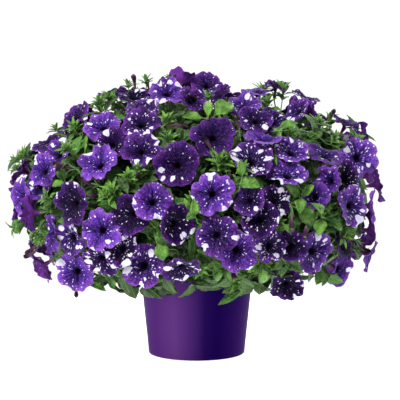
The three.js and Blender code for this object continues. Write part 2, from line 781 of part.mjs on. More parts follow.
// Sprays that would cross each other grow together into one node.
function joinedSprays(plans) {
  const pieces = plans.map((plan) => {
    const flowers = [
      ...plan.blooms.map((bloom) => bloomSolid(bloom, plan.hub)),
      ...plan.buds.map((bud) => budSolid(bud, plan.hub)),
    ];
    return Manifold.union([knot(plan), ...flowers]);
  });
  const group = plans.map((_, i) => i);
  const rootOf = (i) => (group[i] === i ? i : rootOf(group[i]));
  const boxes = pieces.map((piece) => piece.boundingBox());
  pieces.forEach((piece, i) => {
    for (let j = i + 1; j < pieces.length; j++)
      if (boxesMeet(boxes[i], boxes[j], GAP) && piece.minGap(pieces[j], 2 * GAP) < GAP)
        group[rootOf(j)] = rootOf(i);
  });
  const joined = new Map();
  pieces.forEach((piece, i) => {
    const root = rootOf(i);
    joined.set(root, joined.has(root) ? joined.get(root).add(piece) : piece);
  });
  return [...joined.values()];
}

const potSolid = take(pot(), "pot");
const mixSolid = take(pottingMix(), "potting_mix");
addNode("pot", potSolid, potPaint, 0);
addNode("potting_mix", mixSolid, peatPaint, 0);

const blooms = placedBlooms();
const plans = sprayPlans(blooms, placedBuds(blooms));
joinedSprays(plans).forEach((spray, i) => {
  const name = `bloom_spray_${twoDigits(i + 1)}`;
  addNode(name, take(spray, name), petalPaint);
});

// The bare shoots are laid first, so that every leaf can keep clear of all of them.
const stems = Array.from({ length: STEM.count }, (_, k) => {
  const name = `leafy_stem_${twoDigits(k + 1)}`;
  const foot = stemFoot(k);
  const root = SOIL.top - STEM.rootDepth;
  const crown = take(peg(foot.x, foot.y, root, SOIL.top + 7, STEM.crownRadius, SOIL.holeSides), name);
  return { name, foot, crown, shoots: [], leafy: [] };
});
for (const plan of plans) {
  const stem = stems[Math.floor(plan.cell / 3)];
  const part = `shoot_${plan.cell}`;
  const last = STEM.stations - 1;
  const radii = Array.from({ length: STEM.stations }, (_, i) =>
    THREE.MathUtils.lerp(STEM.radius, STEM.tipRadius, i / last),
  );
  for (let attempt = 0; attempt < STEM.attempts; attempt++) {
    const stations = shootPath(stem.foot, plan, attempt);
    const bare = bareShoot(stations, radii, STEM.sides);
    if (!isClearOfNodes(bare, stem.name)) continue;
    take(bare, stem.name, part);
    stem.shoots.push({ stations, radii, plan, part });
    break;
  }
}
for (const stem of stems)
  for (const { stations, radii, plan, part } of stem.shoots) {
    const seed = 200 + plan.cell;
    const whorls = new Map([
      [4, broadWhorl(seed, 2, TUFT.leaf, 0.4)],
    ]);
    const shoot = shootSolid(stations, radii, whorls, stem.name, part, STEM.sides);
    stem.leafy.push(take(shoot, stem.name, part));
  }
tuftPoints(blooms).forEach((at, i) => {
  const near = stems
    .flatMap((stem) => stem.shoots.map((shoot) => ({ stem, shoot, gap: shoot.plan.hub.distanceTo(at) })))
    .reduce((a, b) => (a.gap < b.gap ? a : b));
  const part = `tip_${i}`;
  const tip = leafyTip(near.shoot.stations[3].at, at, 300 + i, near.stem.name, part);
  if (tip) near.stem.leafy.push(take(tip, near.stem.name, part));
});
for (const stem of stems) addNode(stem.name, Manifold.union([stem.crown, ...stem.leafy]), leafPaint);

export default plant;
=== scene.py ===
"""A petunia in full bloom in a tapered plastic pot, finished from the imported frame.

Blooms, buds, shoots and leafy tips are placed by the same rules as the solids, in millimetres, and
each finer piece takes the place of its solid. Surfaces are grids of points worked out with numpy.
"""
import math

import bpy
import numpy as np
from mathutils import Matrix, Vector
from mathutils.kdtree import KDTree


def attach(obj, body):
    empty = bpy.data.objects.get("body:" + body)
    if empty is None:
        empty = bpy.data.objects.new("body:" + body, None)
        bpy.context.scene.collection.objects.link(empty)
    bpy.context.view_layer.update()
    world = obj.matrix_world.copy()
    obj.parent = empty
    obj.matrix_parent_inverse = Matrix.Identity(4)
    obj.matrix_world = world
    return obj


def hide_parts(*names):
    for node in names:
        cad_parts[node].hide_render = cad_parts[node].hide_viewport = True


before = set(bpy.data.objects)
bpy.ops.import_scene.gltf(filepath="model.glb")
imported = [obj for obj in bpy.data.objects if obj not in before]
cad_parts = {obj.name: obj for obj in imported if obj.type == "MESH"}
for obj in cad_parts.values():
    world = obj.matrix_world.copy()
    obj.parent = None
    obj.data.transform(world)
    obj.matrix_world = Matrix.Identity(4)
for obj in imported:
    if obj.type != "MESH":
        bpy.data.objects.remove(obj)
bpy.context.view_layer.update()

# ---------------------------------------------------------------- driving values, in millimetres

MM = 0.001
UP = np.array([0.0, 0.0, 1.0])
FAR_SIDE = np.array([1.0, -1.0, 1.0])  # turns a place or a direction into its mirror image behind
GOLDEN = math.pi * (3 - math.sqrt(5))
POT = {
    "height": 140.0, "foot_radius": 72.0, "taper": 0.104, "wall": 2.2, "floor_top": 4.0, "recess": 1.6,
    "pad_radius": 22.0, "foot_width": 9.0, "lip_height": 13.0, "lip_step": 2.6, "lip_slope": 1.2,
    "centre": 4.0, "corner": 1.1, "sides": 128, "sharp_from": 32,
}
DRAIN = {"count": 6, "radius": 5.0, "circle": 42.0, "past": 2.0, "sides": 24}
SOIL_TOP = 121.0
GAP = 0.3
MIX = {"foot": 20.0, "slack": 0.4, "shoulder": 4, "rows": 26, "sides": 120}
STEM = {
    "count": 12, "rings": (20.0, 40.0), "radius": 2.0, "tip_radius": 1.5, "stations": 6, "attempts": 12,
    "sides": 7, "age": 0.55,
}
# Rods: their radii, spread evenly along them, how many sides they have, and their age.
RODS = {
    "crown": ((4.0, 4.4, 3.6, 1.6), 10, 0.9), "knot": ((1.3, 2.2, 2.6, 2.2, 0.8), 8, 0.5),
    "stalk": ((1.15, 1.0), 6, 0.45), "cup": ((1.0, 2.3, 2.7, 2.2), 8, 0.45),
    "style": ((0.4, 0.4, 0.9, 0.4), 6, 0.4), "star": ((1.15, 0.8), 5, 0.3),
    "shown_leaf": ((1.1, 0.8), 5, 0.4),
}
# How far along their way the stations of straight rods lie, the style's in shares of the bloom's radius.
STRAIGHT = {
    "crown": (-9.0, -2.0, 3.0, 8.0), "knot": (-4, -2, 0, 2, 3.5), "cup": (-2.5, -1.0, 1.5, 3.5),
    "style": (-0.76, -0.6, -0.56, -0.52),
}
# Where the seeds of each kind begin, or what is added to the seeds of the things they belong to.
SEEDS = {
    "far": 100, "far_bud": 50, "fill": 200, "shoot": 200, "tip": 300, "young": 400.0, "bud_stalk": 500,
    "spent": 700.0, "bud_calyx": 900.0, "star": 1100.0, "shown_leaf": 1300.0, "undergrowth": 2000.0,
}
MOUND = {"centre": 238.0, "across": 273.0, "up": 160.0, "core": 200.0}
MIDDLE = UP * MOUND["centre"]
HALF_SIZE = np.array([MOUND["across"], MOUND["across"], MOUND["up"]])
UNDER = {"lowest": 100, "low": 160, "within": 120}  # what lies under the mound, where no gap is filled
LEVELS = {"step": 10.0, "count": 9}
FACE_TURNS = ((0, 0), (14, 0), (-14, 0), (0, 14), (0, -14), (14, 14), (-14, -14))  # in degrees
# How near a limb the end of a line touches it, and how wide the limb is for a touch and a crossing.
CROSSING = {"touch": 1.8, "touch_share": 1.02, "rim_share": 1.05}
SPRAY = {"low_below": 190.0, "top_above": 300.0, "hub_inset": 24.0, "knot_half": 2.0, "droop": 0.45}
# A shoot's curve for the low, the middle and the top sprays, and where it leaves its crown.
SHOOT = {
    "rise": (70, 60, 80), "spread": (34, 12, -8), "arrive": (-95, -60, -70), "sway": 16, "out": 2.2, "up": 4,
}
FILL = {"candidates": 400, "behind": -70.0, "lowest": 150.0, "room": 56.0, "radius": 26.0}
YOUNG = {
    "candidates": 1400, "least": 14.0, "most": 20.0, "room": 4.0, "apart": 44.0, "tip_room": 24.0,
    "behind": -60.0, "lowest": 140.0, "inset": 7.0, "lean": 0.7,
}
BUD = {"proud": 12.0, "apart": 90.0}
TUFT = {
    "count": 34, "spacing": 44.0, "candidates": 700, "proud": 7.0, "tip_leaf": 17.0, "leaf": 40.0,
    "sway": 9, "attempts": 7, "radii": (1.3, 1.2, 1.15, 1.1, 1.0), "worst_miss": 4.0, "joint_step": 19,
    "ends": (1.3, 0.9), "star": 18.0, "sink": 4, "leave": 14, "arrive": 40,
}
# The leaves along a shoot and along a leafy tip: where they begin and end, their length and their ages.
JOINTS = {"shoot": (0.3, 0.98), "tip": (0.15, 0.98), "leaf": 30, "ages": (0.5, 0.98)}
# The lengths that a leaf is cut to until it is clear, and where along it it is widest.
LEAF = {"cuts": (1.0, 0.8, 0.6, 0.45), "widest": 0.55}
# A shoot tip that shows: how deep it lies, how it turns from the mound's outward direction, and how
# much of its size lies under its place.
STAR = {"inset": 6, "turn": (0.0, -0.15, 0.75), "under": 0.35}
# How many stations a curve has: for its joints, as a rod, as a flower's stalk.
STATIONS = {"joints": 24, "rod": 20, "stalk": 9}
# A side shoot's start is sought at every third station, nearest first. It rises by a share of its reach.
SIDE_SHOOT = {"stations": 7, "every": 3, "share": 0.35, "rise": 0.12}
# A whorl of the solid: how far over its joint it lies, and the sizes, turns and cuts that are tried.
WHORL = {
    "raised": 0.7, "sizes": (1.0, 0.8, 0.6), "turns": 5, "cuts": (1.0, 0.82, 0.64, 0.46, 0.2),
    "worst_miss": 0.8,
}
UNDERGROWTH = {
    "candidates": 2600, "apart": 25.0, "least_inset": 32.0, "most_inset": 92.0, "leaf": 34.0,
    "lowest": 128, "low": 165, "beyond": 110, "rod": ((1.1, 0.7), 4), "tip": (4, 13.0, 5.0, 0.6),
    "joints": ((3, 0), (5, 90), (6, 20)),
}
SEPALS = (5, 13.0, 2.8)  # how many, how long, how wide
HANG_LEAST = 104.0  # the height that only the leaves over the pot's lip hang under
NEAR_POT = {"least": 122.0, "slope": 0.082, "from": 89.0, "to": 235.0}
NUDGES = (0, -5, 5, -10, 10, -15, 16, -20, 24)  # along the line of sight, smallest first

# For the crossing test: a limb's height in shares of its radius, and its spokes.
LIMB = {"depth": 0.3, "power": 1.4}
SPOKES = {"count": 12, "shares": (0.15, 0.6, 1.0)}

# A bloom, in shares of its radius, and the waves round its rim: how many, and how high.
BLOOM = {"tube": 1.1, "throat": 0.13, "notch": 0.16, "depth": 0.36, "bend": 0.3, "rim": 1.05}
RIM_WAVES = ((2, 0.035), (3, 0.025), (14, 0.012), (23, 0.010))
RIPPLES = ((2, 0.05), (3, 0.05), (5, 0.03), (7, 0.03), (11, 0.022), (16, 0.016), (23, 0.01))
COLUMNS = 60  # points round a limb, twelve to a lobe
FACE_SHARES = np.array([1.0, 0.985, 0.94, 0.86, 0.76, 0.65, 0.53, 0.41, 0.3, 0.2, 0.11, 0.04, 0.0])
# Radius and height over the rim plane, up the outside of the tube and down its inside.
TUBE = np.array([
    (0.062, -BLOOM["tube"]), (0.07, -1.0), (0.078, -0.88), (0.088, -0.74), (0.1, -0.6), (0.122, -0.48),
])
THROAT = np.array([(0.1, -0.5), (0.075, -0.66), (0.05, -0.8)])
PETAL_THICKNESS = 0.5  # in millimetres

# A leaf's blade: shares of its length, and of its half width from edge to edge.
BLADE_ROWS = np.array([0.0, 0.1, 0.26, 0.46, 0.66, 0.86, 1.0])
BLADE_ACROSS = np.array([1.0, 0.5, 0.0, -0.5, -1.0])
BLADE_THICKNESS = 0.5  # in millimetres
GREEN = {"leaf": 0.0, "stem": 1.0, "sepal": 2.0, "stamen": 3.0}

# A shoot's tip, tier by tier in shares of its size: height, leaves, length, width, lean, draw and age.
STAR_TIERS = (
    (0.0, 5, 0.92, 0.33, 1.05, 0.0, 0.3), (0.16, 4, 0.75, 0.27, 0.6, 5.5, 0.12),
    (0.26, 3, 0.5, 0.19, 0.28, 9.5, 0.02),
)

# The camera looks along the line of sight that the front blooms are placed by.
EYE = np.array([5.0, -2000.0, 393.0])
AIM = np.array([5.0, 0.0, 230.0])
MM_PER_PIXEL = 1.5
PICTURE = 400
SENSOR = 36.0
CLIP_END = 60.0  # in metres

# Front blooms, nearest to the viewer first: pixel across, pixel down, yaw and pitch of the face
# in degrees (0, 0 looks at the viewer, +yaw to the right, +pitch up), diameter in millimetres, and
# three shares that tell their looks: how light they are, how red, and how much white they carry.
# A low lightness is partly a bloom's own dark colour and partly painted shade, for blooms that lie in shadow.
FRONT_BLOOMS = [
    (177, 164, -5, 15, 58, 0.3, 0.6, 0.35), (213, 193, 5, 15, 56, 0.85, 0.25, 0.7),
    (101, 230, -15, 10, 56, 0.9, 0.2, 0.55), (143, 266, -10, 2, 58, 0.45, 0.5, 0.9),
    (217, 235, 0, 8, 54, 0.4, 0.5, 0.6), (315, 252, 34, -6, 58, 0.5, 0.3, 0.6),
    (359, 157, 18, 14, 58, 0.85, 0.1, 0.95), (213, 136, 2, 28, 58, 0.3, 0.35, 0.3),
    (252, 159, 8, 42, 58, 0.35, 0.4, 1.0), (141, 149, -8, 38, 54, 0.4, 0.55, 0.45),
    (153, 202, 6, 14, 50, 0.65, 0.4, 0.6), (75, 273, -22, -14, 58, 0.8, 0.2, 0.6),
    (287, 286, 10, -22, 48, 0.05, 0.5, 0.5), (341, 270, 46, -16, 50, 0.5, 0.3, 0.5),
    (72, 204, -42, 2, 58, 0.18, 0.65, 0.45), (98, 163, -28, 40, 56, 0.9, 0.1, 0.5),
    (20, 196, -62, 6, 54, 0.7, 0.2, 0.35), (167, 91, 2, 50, 54, 0.7, 0.2, 0.6),
    (264, 138, 16, 64, 56, 0.6, 0.2, 0.3), (353, 206, 44, 2, 58, 0.55, 0.3, 0.75),
    (141, 122, -4, 46, 54, 0.4, 0.6, 0.7), (130, 215, -30, 0, 54, 0.15, 0.3, 0.4),
    (177, 224, 34, -8, 52, 0.1, 0.3, 0.5), (237, 251, 10, -8, 56, 0.6, 0.3, 0.6),
    (102, 125, -20, 50, 52, 0.75, 0.3, 0.6), (292, 151, 20, 48, 48, 0.6, 0.2, 0.8),
    (288, 173, 14, 40, 52, 0.65, 0.1, 0.7), (346, 178, 28, 20, 50, 0.12, 0.5, 0.6),
    (256, 119, 6, 44, 46, 0.3, 0.2, 0.5), (42, 170, -42, 26, 52, 0.6, 0.1, 0.5),
    (101, 261, -10, -34, 52, 0.3, 0.5, 1.0), (182, 270, 0, -48, 50, 0.25, 0.3, 0.75),
    (271, 246, 12, 0, 46, 0.3, 0.4, 0.9), (260, 219, 0, 10, 48, 0.03, 0.4, 0.6),
    (276, 202, 20, 8, 44, 0.08, 0.4, 0.7), (249, 200, -12, 20, 42, 0.3, 0.2, 0.5),
    (57, 153, -42, 50, 52, 0.5, 0.4, 0.6), (325, 154, 40, 58, 52, 0.4, 0.2, 0.4),
    (75, 116, -46, 46, 48, 0.4, 0.8, 0.4), (243, 105, -10, 56, 50, 0.5, 0.2, 0.6),
    (207, 84, 10, 36, 46, 0.45, 0.55, 0.4), (328, 181, -48, 10, 44, 0.6, 0.4, 0.4),
    (51, 234, -64, 0, 50, 0.5, 0.3, 0.4), (70, 238, -30, -10, 50, 0.4, 0.3, 0.8),
    (122, 249, -10, -12, 46, 0.15, 0.4, 0.9), (291, 246, 16, 0, 42, 0.02, 0.2, 0.4),
    (373, 206, 80, 0, 50, 0.7, 0.3, 0.4), (371, 256, 74, -20, 48, 0.5, 0.3, 0.4),
    (30, 214, -100, -10, 50, 0.4, 0.9, 0.3), (41, 267, -100, -32, 50, 0.6, 0.2, 0.7),
    (49, 141, -52, 60, 50, 0.3, 0.4, 0.5), (142, 108, 0, 62, 46, 0.35, 0.5, 0.5),
    (312, 114, 122, 30, 48, 0.4, 0.9, 0.5), (297, 110, -56, 42, 44, 0.4, 0.2, 0.6),
    (306, 97, 60, 62, 42, 0.3, 0.3, 0.5), (258, 91, 0, 78, 48, 0.5, 0.1, 0.3),
    (181, 81, 160, 42, 46, 0.4, 0.9, 0.2), (192, 100, 30, 40, 42, 0.4, 0.8, 0.4),
    (112, 94, -30, 72, 46, 0.1, 0.5, 0.2), (134, 96, 0, 60, 42, 0.0, 0.5, 0.4),
    (347, 123, 60, 58, 46, 0.3, 0.4, 0.4), (366, 136, 88, 34, 46, 0.1, 0.6, 0.2),
    (113, 143, 0, 44, 44, 0.3, 0.6, 0.4), (220, 95, -60, 42, 40, 0.3, 0.8, 0.3),
    (345, 247, 60, 18, 42, 0.1, 0.7, 0.2), (273, 120, 20, 60, 42, 0.3, 0.2, 0.4),
    (371, 231, 100, -10, 44, 0.5, 0.3, 0.3), (316, 196, 0, 20, 38, 0.5, 0.2, 0.5),
    (276, 85, 30, 70, 36, 0.3, 0.8, 0.2), (38, 187, -52, 0, 42, 0.5, 0.1, 0.4),
]

# Front buds: pixel of the tip across and down, yaw and pitch of the way they point, length.
FRONT_BUDS = [
    (133, 74, -20, 66, 34), (146, 78, -25, 60, 30), (163, 76, 8, 76, 28), (41, 131, -50, 44, 28),
    (15, 162, -60, 40, 30), (25, 255, -75, -38, 38), (32, 262, -60, -40, 36), (76, 298, -5, -68, 28),
    (335, 109, 48, 52, 30), (207, 118, -10, 30, 34), (292, 230, -2, -62, 32), (305, 238, -12, -52, 34),
    (235, 280, 18, -44, 34), (54, 166, -70, 8, 36),
]

# Leaves that show between the blooms: pixels of their base and tip, width in pixels, age (0 is a young
# bright leaf, 1 an old dull one), and how far in from the mound's surface the tip lies.
FRONT_LEAVES = [
    (214, 116, 233, 104, 17, 0.25, -4), (208, 118, 208, 101, 9, 0.25, -4),
    (203, 118, 182, 117, 9, 0.25, -4), (242, 177, 240, 160, 9, 0.3, -4), (238, 184, 261, 187, 13, 0.3, -2),
    (236, 186, 233, 174, 7, 0.4, 4), (160, 185, 173, 198, 8, 0.55, 12), (195, 216, 194, 198, 9, 0.25, -2),
    (196, 214, 186, 220, 8, 0.3, -2), (190, 210, 184, 198, 5, 0.3, 0), (198, 234, 206, 221, 7, 0.4, 8),
    (160, 230, 147, 218, 8, 0.2, -4), (164, 229, 181, 237, 8, 0.3, -4), (157, 243, 164, 260, 14, 0.25, -2),
    (212, 262, 197, 250, 9, 0.5, 10), (213, 264, 218, 281, 10, 0.4, 4), (222, 268, 231, 284, 9, 0.4, 4),
    (207, 266, 199, 276, 7, 0.35, 4), (240, 272, 257, 271, 11, 0.45, 6), (119, 178, 128, 194, 12, 0.85, 14),
    (65, 182, 60, 166, 11, 0.7, 8), (66, 184, 52, 186, 8, 0.4, 8), (44, 234, 45, 220, 10, 0.5, 4),
    (85, 153, 87, 134, 4, 0.2, 2), (80, 152, 81, 162, 9, 0.5, 6), (114, 121, 126, 118, 9, 0.6, 6),
    (277, 130, 298, 123, 8, 0.3, -6), (277, 127, 280, 139, 10, 0.4, 2), (288, 138, 295, 125, 5, 0.4, 2),
    (270, 150, 277, 165, 6, 0.4, 2), (300, 197, 283, 181, 12, 0.25, -4), (302, 197, 314, 185, 9, 0.3, -4),
    (300, 198, 300, 214, 11, 0.2, -4), (296, 208, 313, 224, 17, 0.4, 4), (321, 216, 311, 203, 9, 0.25, -4),
    (321, 218, 319, 236, 13, 0.15, -6), (326, 219, 342, 230, 13, 0.5, 2), (290, 234, 281, 226, 9, 0.4, 4),
    (307, 177, 321, 164, 15, 0.9, 14), (260, 191, 256, 177, 8, 0.5, 8), (326, 267, 316, 285, 13, 0.35, 4),
    (259, 264, 263, 283, 11, 0.3, -4), (270, 276, 271, 293, 9, 0.5, 6), (285, 261, 303, 275, 12, 0.4, 6),
    (274, 262, 266, 270, 9, 0.4, 2), (88, 282, 106, 291, 8, 0.35, 0), (101, 270, 115, 288, 8, 0.45, 2),
    (235, 217, 245, 224, 10, 0.8, 14), (123, 230, 128, 241, 9, 0.7, 10),
]

# Leaves that hang over the pot's lip: the same, with how far in front of the pot's axis they lie.
LIP_LEAVES = [
    (122, 268, 136, 299, 21, 0.8, 122), (112, 270, 133, 288, 12, 0.74, 128),
    (142, 284, 162, 299, 8, 0.9, 116), (149, 280, 178, 293, 17, 0.95, 112),
    (214, 277, 191, 287, 11, 0.78, 108), (229, 281, 205, 290, 9, 0.88, 104),
    (225, 279, 207, 286, 9, 0.74, 110), (248, 277, 222, 293, 14, 0.78, 114),
    (242, 289, 218, 305, 9, 0.64, 106), (254, 280, 240, 292, 8, 0.8, 108),
    (262, 269, 259, 295, 20, 0.86, 120), (213, 262, 198, 282, 15, 0.5, 124),
    (228, 262, 236, 281, 12, 0.55, 122), (180, 268, 166, 284, 12, 0.9, 108),
]

# Shoot tips with a star of narrow young leaves: pixel across and down, and size in millimetres.
STARS = [
    (100, 107, 20), (112, 100, 22), (107, 95, 16), (74, 127, 22), (77, 146, 20), (56, 128, 16),
    (27, 152, 18), (107, 197, 28), (112, 190, 22), (35, 234, 20), (284, 89, 24), (268, 101, 22),
    (278, 124, 20), (329, 118, 22), (335, 137, 18), (359, 140, 20), (301, 186, 18), (323, 207, 24),
    (277, 222, 16), (344, 236, 20), (165, 223, 18), (166, 120, 22), (168, 138, 20), (138, 168, 16),
    (220, 160, 22), (229, 157, 18), (208, 96, 20), (146, 80, 18), (192, 200, 16), (201, 270, 18),
    (262, 262, 18), (243, 168, 16), (236, 283, 16), (46, 196, 18), (128, 176, 18), (350, 226, 18),
    (289, 133, 16), (159, 227, 14), (15, 168, 14), (128, 84, 16), (170, 78, 14), (224, 268, 16),
]

# Flowers going over: pixels of the tube's foot and of its shrivelled end.
SPENT = [
    (214, 158, 204, 137), (76, 169, 53, 163), (101, 186, 77, 177), (80, 200, 98, 196), (313, 157, 331, 161),
    (226, 171, 232, 178), (240, 138, 233, 117), (160, 127, 188, 128), (262, 168, 265, 175),
    (137, 171, 139, 178), (41, 241, 24, 257), (206, 100, 190, 96), (356, 240, 371, 252),
]

# ---------------------------------------------------------------- small tools


def srgb(red, green, blue):
    """A colour given as 0 to 255 screen values, as the linear one that shaders take."""
    screen = np.array([red, green, blue]) / 255.0
    linear = np.where(screen <= 0.04045, screen / 12.92, ((screen + 0.055) / 1.055) ** 2.4)
    return (*linear.tolist(), 1.0)


def draw(seed, turn):
    """The same draw between 0 and 1 for the same two numbers, or arrays of them."""
    wave = np.sin(np.asarray(seed) * 12.9898 + np.asarray(turn) * 78.233) * 43758.5453
    return wave - np.floor(wave)


def unit(vectors):
    """Vectors made one long, along the last axis."""
    return vectors / np.maximum(np.linalg.norm(vectors, axis=-1, keepdims=True), 1e-12)


def round_angles(count):
    """Angles spread evenly round a circle."""
    return np.arange(count) / count * 2 * math.pi


def facing(yaw, pitch):
    """The direction with a yaw and pitch in degrees, where 0, 0 looks along -Y."""
    a, e = math.radians(yaw), math.radians(pitch)
    return np.array([math.sin(a) * math.cos(e), -math.cos(a) * math.cos(e), math.sin(e)])


def about(sides, angle):
    """The direction at an angle round an axis, from the axis's two sides: cos(angle) u + sin(angle) v."""
    return sides[0] * math.cos(angle) + sides[1] * math.sin(angle)


def sides_of(axis, roll=0.0):
    """Two directions square to an axis, turned round it by `roll` degrees."""
    up = UP if abs(axis[2]) < 0.92 else np.array([0.0, 1.0, 0.0])
    u = unit(np.cross(up, axis))
    u = about((u, np.cross(axis, u)), math.radians(roll))
    return u, np.cross(axis, u)


def carried(sides, before, after):
    """The sides of one axis, carried over to another by the shortest turn."""
    q = np.cross(before, after)
    w = 1.0 + float(np.dot(before, after))
    if w < 1e-9:
        return sides
    size = math.sqrt(float(q @ q) + w * w)
    q, w = q / size, w / size
    return tuple(s + 2.0 * w * np.cross(q, s) + 2.0 * np.cross(q, np.cross(q, s)) for s in sides)


def stations_of(controls, count):
    """Stations along a cubic curve: B(t) of four points, its direction, and sides carried along it."""
    a, b, c, d = controls
    stations = []
    for t in np.linspace(0.0, 1.0, count):
        s = 1.0 - t
        at = s**3 * a + 3 * s * s * t * b + 3 * s * t * t * c + t**3 * d
        way = unit(3 * s * s * (b - a) + 6 * s * t * (c - b) + 3 * t * t * (d - c))
        before = stations[-1] if stations else None
        sides = carried(before[2], before[1], way) if before else sides_of(way)
        stations.append((at, way, sides))
    return stations


def steps_of(stations):
    """How far each station is from the next."""
    return [np.linalg.norm(b[0] - a[0]) for a, b in zip(stations, stations[1:])]


# ---------------------------------------------------------------- where the blooms go


def outward_at(point):
    """The mound's outward direction: the gradient of its ellipsoid."""
    return unit((point - MIDDLE) / HALF_SIZE**2)


def line_of_sight(pixel_x, pixel_y):
    """The way from the eye through a pixel, as far as the plane that the aim lies in."""
    reach = np.linalg.norm(AIM - EYE)
    forward = (AIM - EYE) / reach
    right = np.array([1.0, 0.0, 0.0])
    up = np.cross(right, forward)
    across, down = pixel_x - PICTURE / 2, pixel_y - PICTURE / 2
    return forward * reach + right * across * MM_PER_PIXEL - up * down * MM_PER_PIXEL


def seen_at(pixel_x, pixel_y, inset):
    """The point of the mound, shrunk by `inset`, that a pixel's line of sight meets first.

    The line o + t d meets the unit sphere, after both are divided by the mound's half sizes, at the
    smaller root of a t^2 + 2 b t + c = 0. A line that misses gives its nearest point.
    """
    ray = line_of_sight(pixel_x, pixel_y)
    o, d = (EYE - MIDDLE) / (HALF_SIZE - inset), ray / (HALF_SIZE - inset)
    a, b, c = d @ d, o @ d, o @ o - 1.0
    t = (-b - math.sqrt(max(0.0, b * b - a * c))) / a
    return EYE + ray * t


def seen_before(pixel_x, pixel_y, forward):
    """The point of a pixel's line of sight that lies `forward` in front of the pot's axis."""
    ray = line_of_sight(pixel_x, pixel_y)
    return EYE + ray * (-forward - EYE[1]) / ray[1]


def limb_height(share):
    """How far a limb lies over its rim plane, in shares of its radius: -depth (1 - share)^power."""
    return -LIMB["depth"] * np.maximum(0.0, 1.0 - share) ** LIMB["power"]


def spokes(bloom):
    """Twenty-five lines over a bloom's limb and along its tube, for the crossing test."""
    at, face, radius = bloom["at"], bloom["face"], bloom["radius"]
    sides = sides_of(face)
    lines = [[at - LIMB["depth"] * radius * face, tube_foot(bloom)]]
    for k in range(SPOKES["count"]):
        out = about(sides, k / SPOKES["count"] * 2 * math.pi)
        points = [at + out * s * radius + face * limb_height(s) * radius for s in SPOKES["shares"]]
        lines += [[points[0], points[1]], [points[1], points[2]]]
    return np.array(lines)


def tube_foot(bloom):
    """Where a bloom's tube ends, behind its face."""
    return bloom["at"] - BLOOM["tube"] * bloom["radius"] * bloom["face"]


def crossings(lines, other):
    """Which lines cross or touch a bloom's limb: their ends lie on two sides of it, within its rim."""
    away = lines - other["at"]
    height = away @ other["face"]
    reach = np.sqrt(np.maximum(0.0, (away**2).sum(-1) - height**2))
    over = height - limb_height(reach / other["radius"]) * other["radius"]
    touches = np.abs(over[:, 1]) < CROSSING["touch"]
    touches &= reach[:, 1] < other["radius"] * CROSSING["touch_share"]
    share = np.abs(over[:, 0]) / (np.abs(over[:, 0]) + np.abs(over[:, 1]) + 1e-9)
    inside = reach[:, 0] + (reach[:, 1] - reach[:, 0]) * share < other["radius"] * CROSSING["rim_share"]
    return touches | ((over[:, 0] * over[:, 1] <= 0.0) & inside)


def hits(lines, blooms):
    """How often some lines cross or touch the limbs of some blooms."""
    return sum(int(crossings(np.asarray(lines), bloom).sum()) for bloom in blooms)


def near_blooms(point, blooms, reach):
    """The blooms whose limbs may lie within reach of a point."""
    return [bloom for bloom in blooms if np.linalg.norm(bloom["at"] - point) < reach + bloom["radius"]]


def clashes(bloom, placed):
    """How many lines of a bloom and of its near neighbours cross the other's limb."""
    at, radius = bloom["at"], bloom["radius"]
    near = [other for other in placed if np.linalg.norm(other["at"] - at) < 1.2 * (other["radius"] + radius)]
    return hits(bloom["lines"], near) + sum(hits(other["lines"], [bloom]) for other in near)


def new_bloom(at, face, radius, seed):
    """A bloom at a place, with the lines that its neighbours are tested by."""
    bloom = {"at": at, "face": face, "radius": radius, "seed": seed}
    bloom["lines"] = spokes(bloom)
    return bloom


def golden_points(count, insets=0.0):
    """Points spread evenly over the mound by the golden angle, each in from its surface by its inset."""
    k = np.arange(count)
    h = 1 - 2 * (k + 0.5) / count
    r = np.sqrt(1 - h * h) * (MOUND["across"] - insets)
    z = MOUND["centre"] + (MOUND["up"] - insets) * h
    return np.stack([r * np.cos(k * GOLDEN), r * np.sin(k * GOLDEN), z], axis=-1)


def gaps_between(blooms, count):
    """Points spread over the mound but not under it, widest gap between blooms first."""
    places = np.array([bloom["at"] for bloom in blooms])
    radii = np.array([bloom["radius"] for bloom in blooms])
    points = golden_points(count)
    away = np.hypot(points[:, 0], points[:, 1])
    low = (points[:, 2] < UNDER["low"]) & (away < UNDER["within"])
    points = points[(points[:, 2] >= UNDER["lowest"]) & ~low]
    room = (np.linalg.norm(places - points[:, None], axis=2) - 0.9 * radii).min(axis=1)
    return points[np.argsort(-room, kind="stable")]


def placed_blooms():
    """The front blooms by their pixels, the far side mirrored, and the widest hidden gaps filled.

    Each front bloom goes to the outermost level, with the smallest nudge of its face, where it is
    clear of those before it.
    """
    front = []
    for i, (pixel_x, pixel_y, yaw, pitch, diameter, *look) in enumerate(FRONT_BLOOMS):
        best = None
        for level in range(LEVELS["count"]):
            if best and best[0] == 0:
                break
            at = seen_at(pixel_x, pixel_y, level * LEVELS["step"])
            for d_yaw, d_pitch in FACE_TURNS:
                bloom = new_bloom(at, facing(yaw + d_yaw, pitch + d_pitch), diameter / 2, i + 1)
                count = clashes(bloom, front)
                if best is None or count < best[0]:
                    best = (count, bloom)
                if count == 0:
                    break
        front.append({**best[1], "look": look})
    blooms = list(front)
    for k, bloom in enumerate(front):
        at, face = bloom["at"] * FAR_SIDE, bloom["face"] * FAR_SIDE
        twin = new_bloom(at, face, bloom["radius"], bloom["seed"] + SEEDS["far"])
        if clashes(twin, blooms) == 0:
            blooms.append({**twin, "look": front[(7 * k + 3) % len(front)]["look"]})
    for at in gaps_between(blooms, FILL["candidates"]):
        nearest = min(np.linalg.norm(bloom["at"] - at) for bloom in blooms)
        if at[1] < FILL["behind"] or at[2] < FILL["lowest"] or nearest < FILL["room"]:
            continue
        bloom = new_bloom(at, outward_at(at), FILL["radius"], SEEDS["fill"] + len(blooms))
        if clashes(bloom, blooms) == 0:
            blooms.append({**bloom, "look": [draw(bloom["seed"], 70 + k) for k in range(3)]})
    return blooms


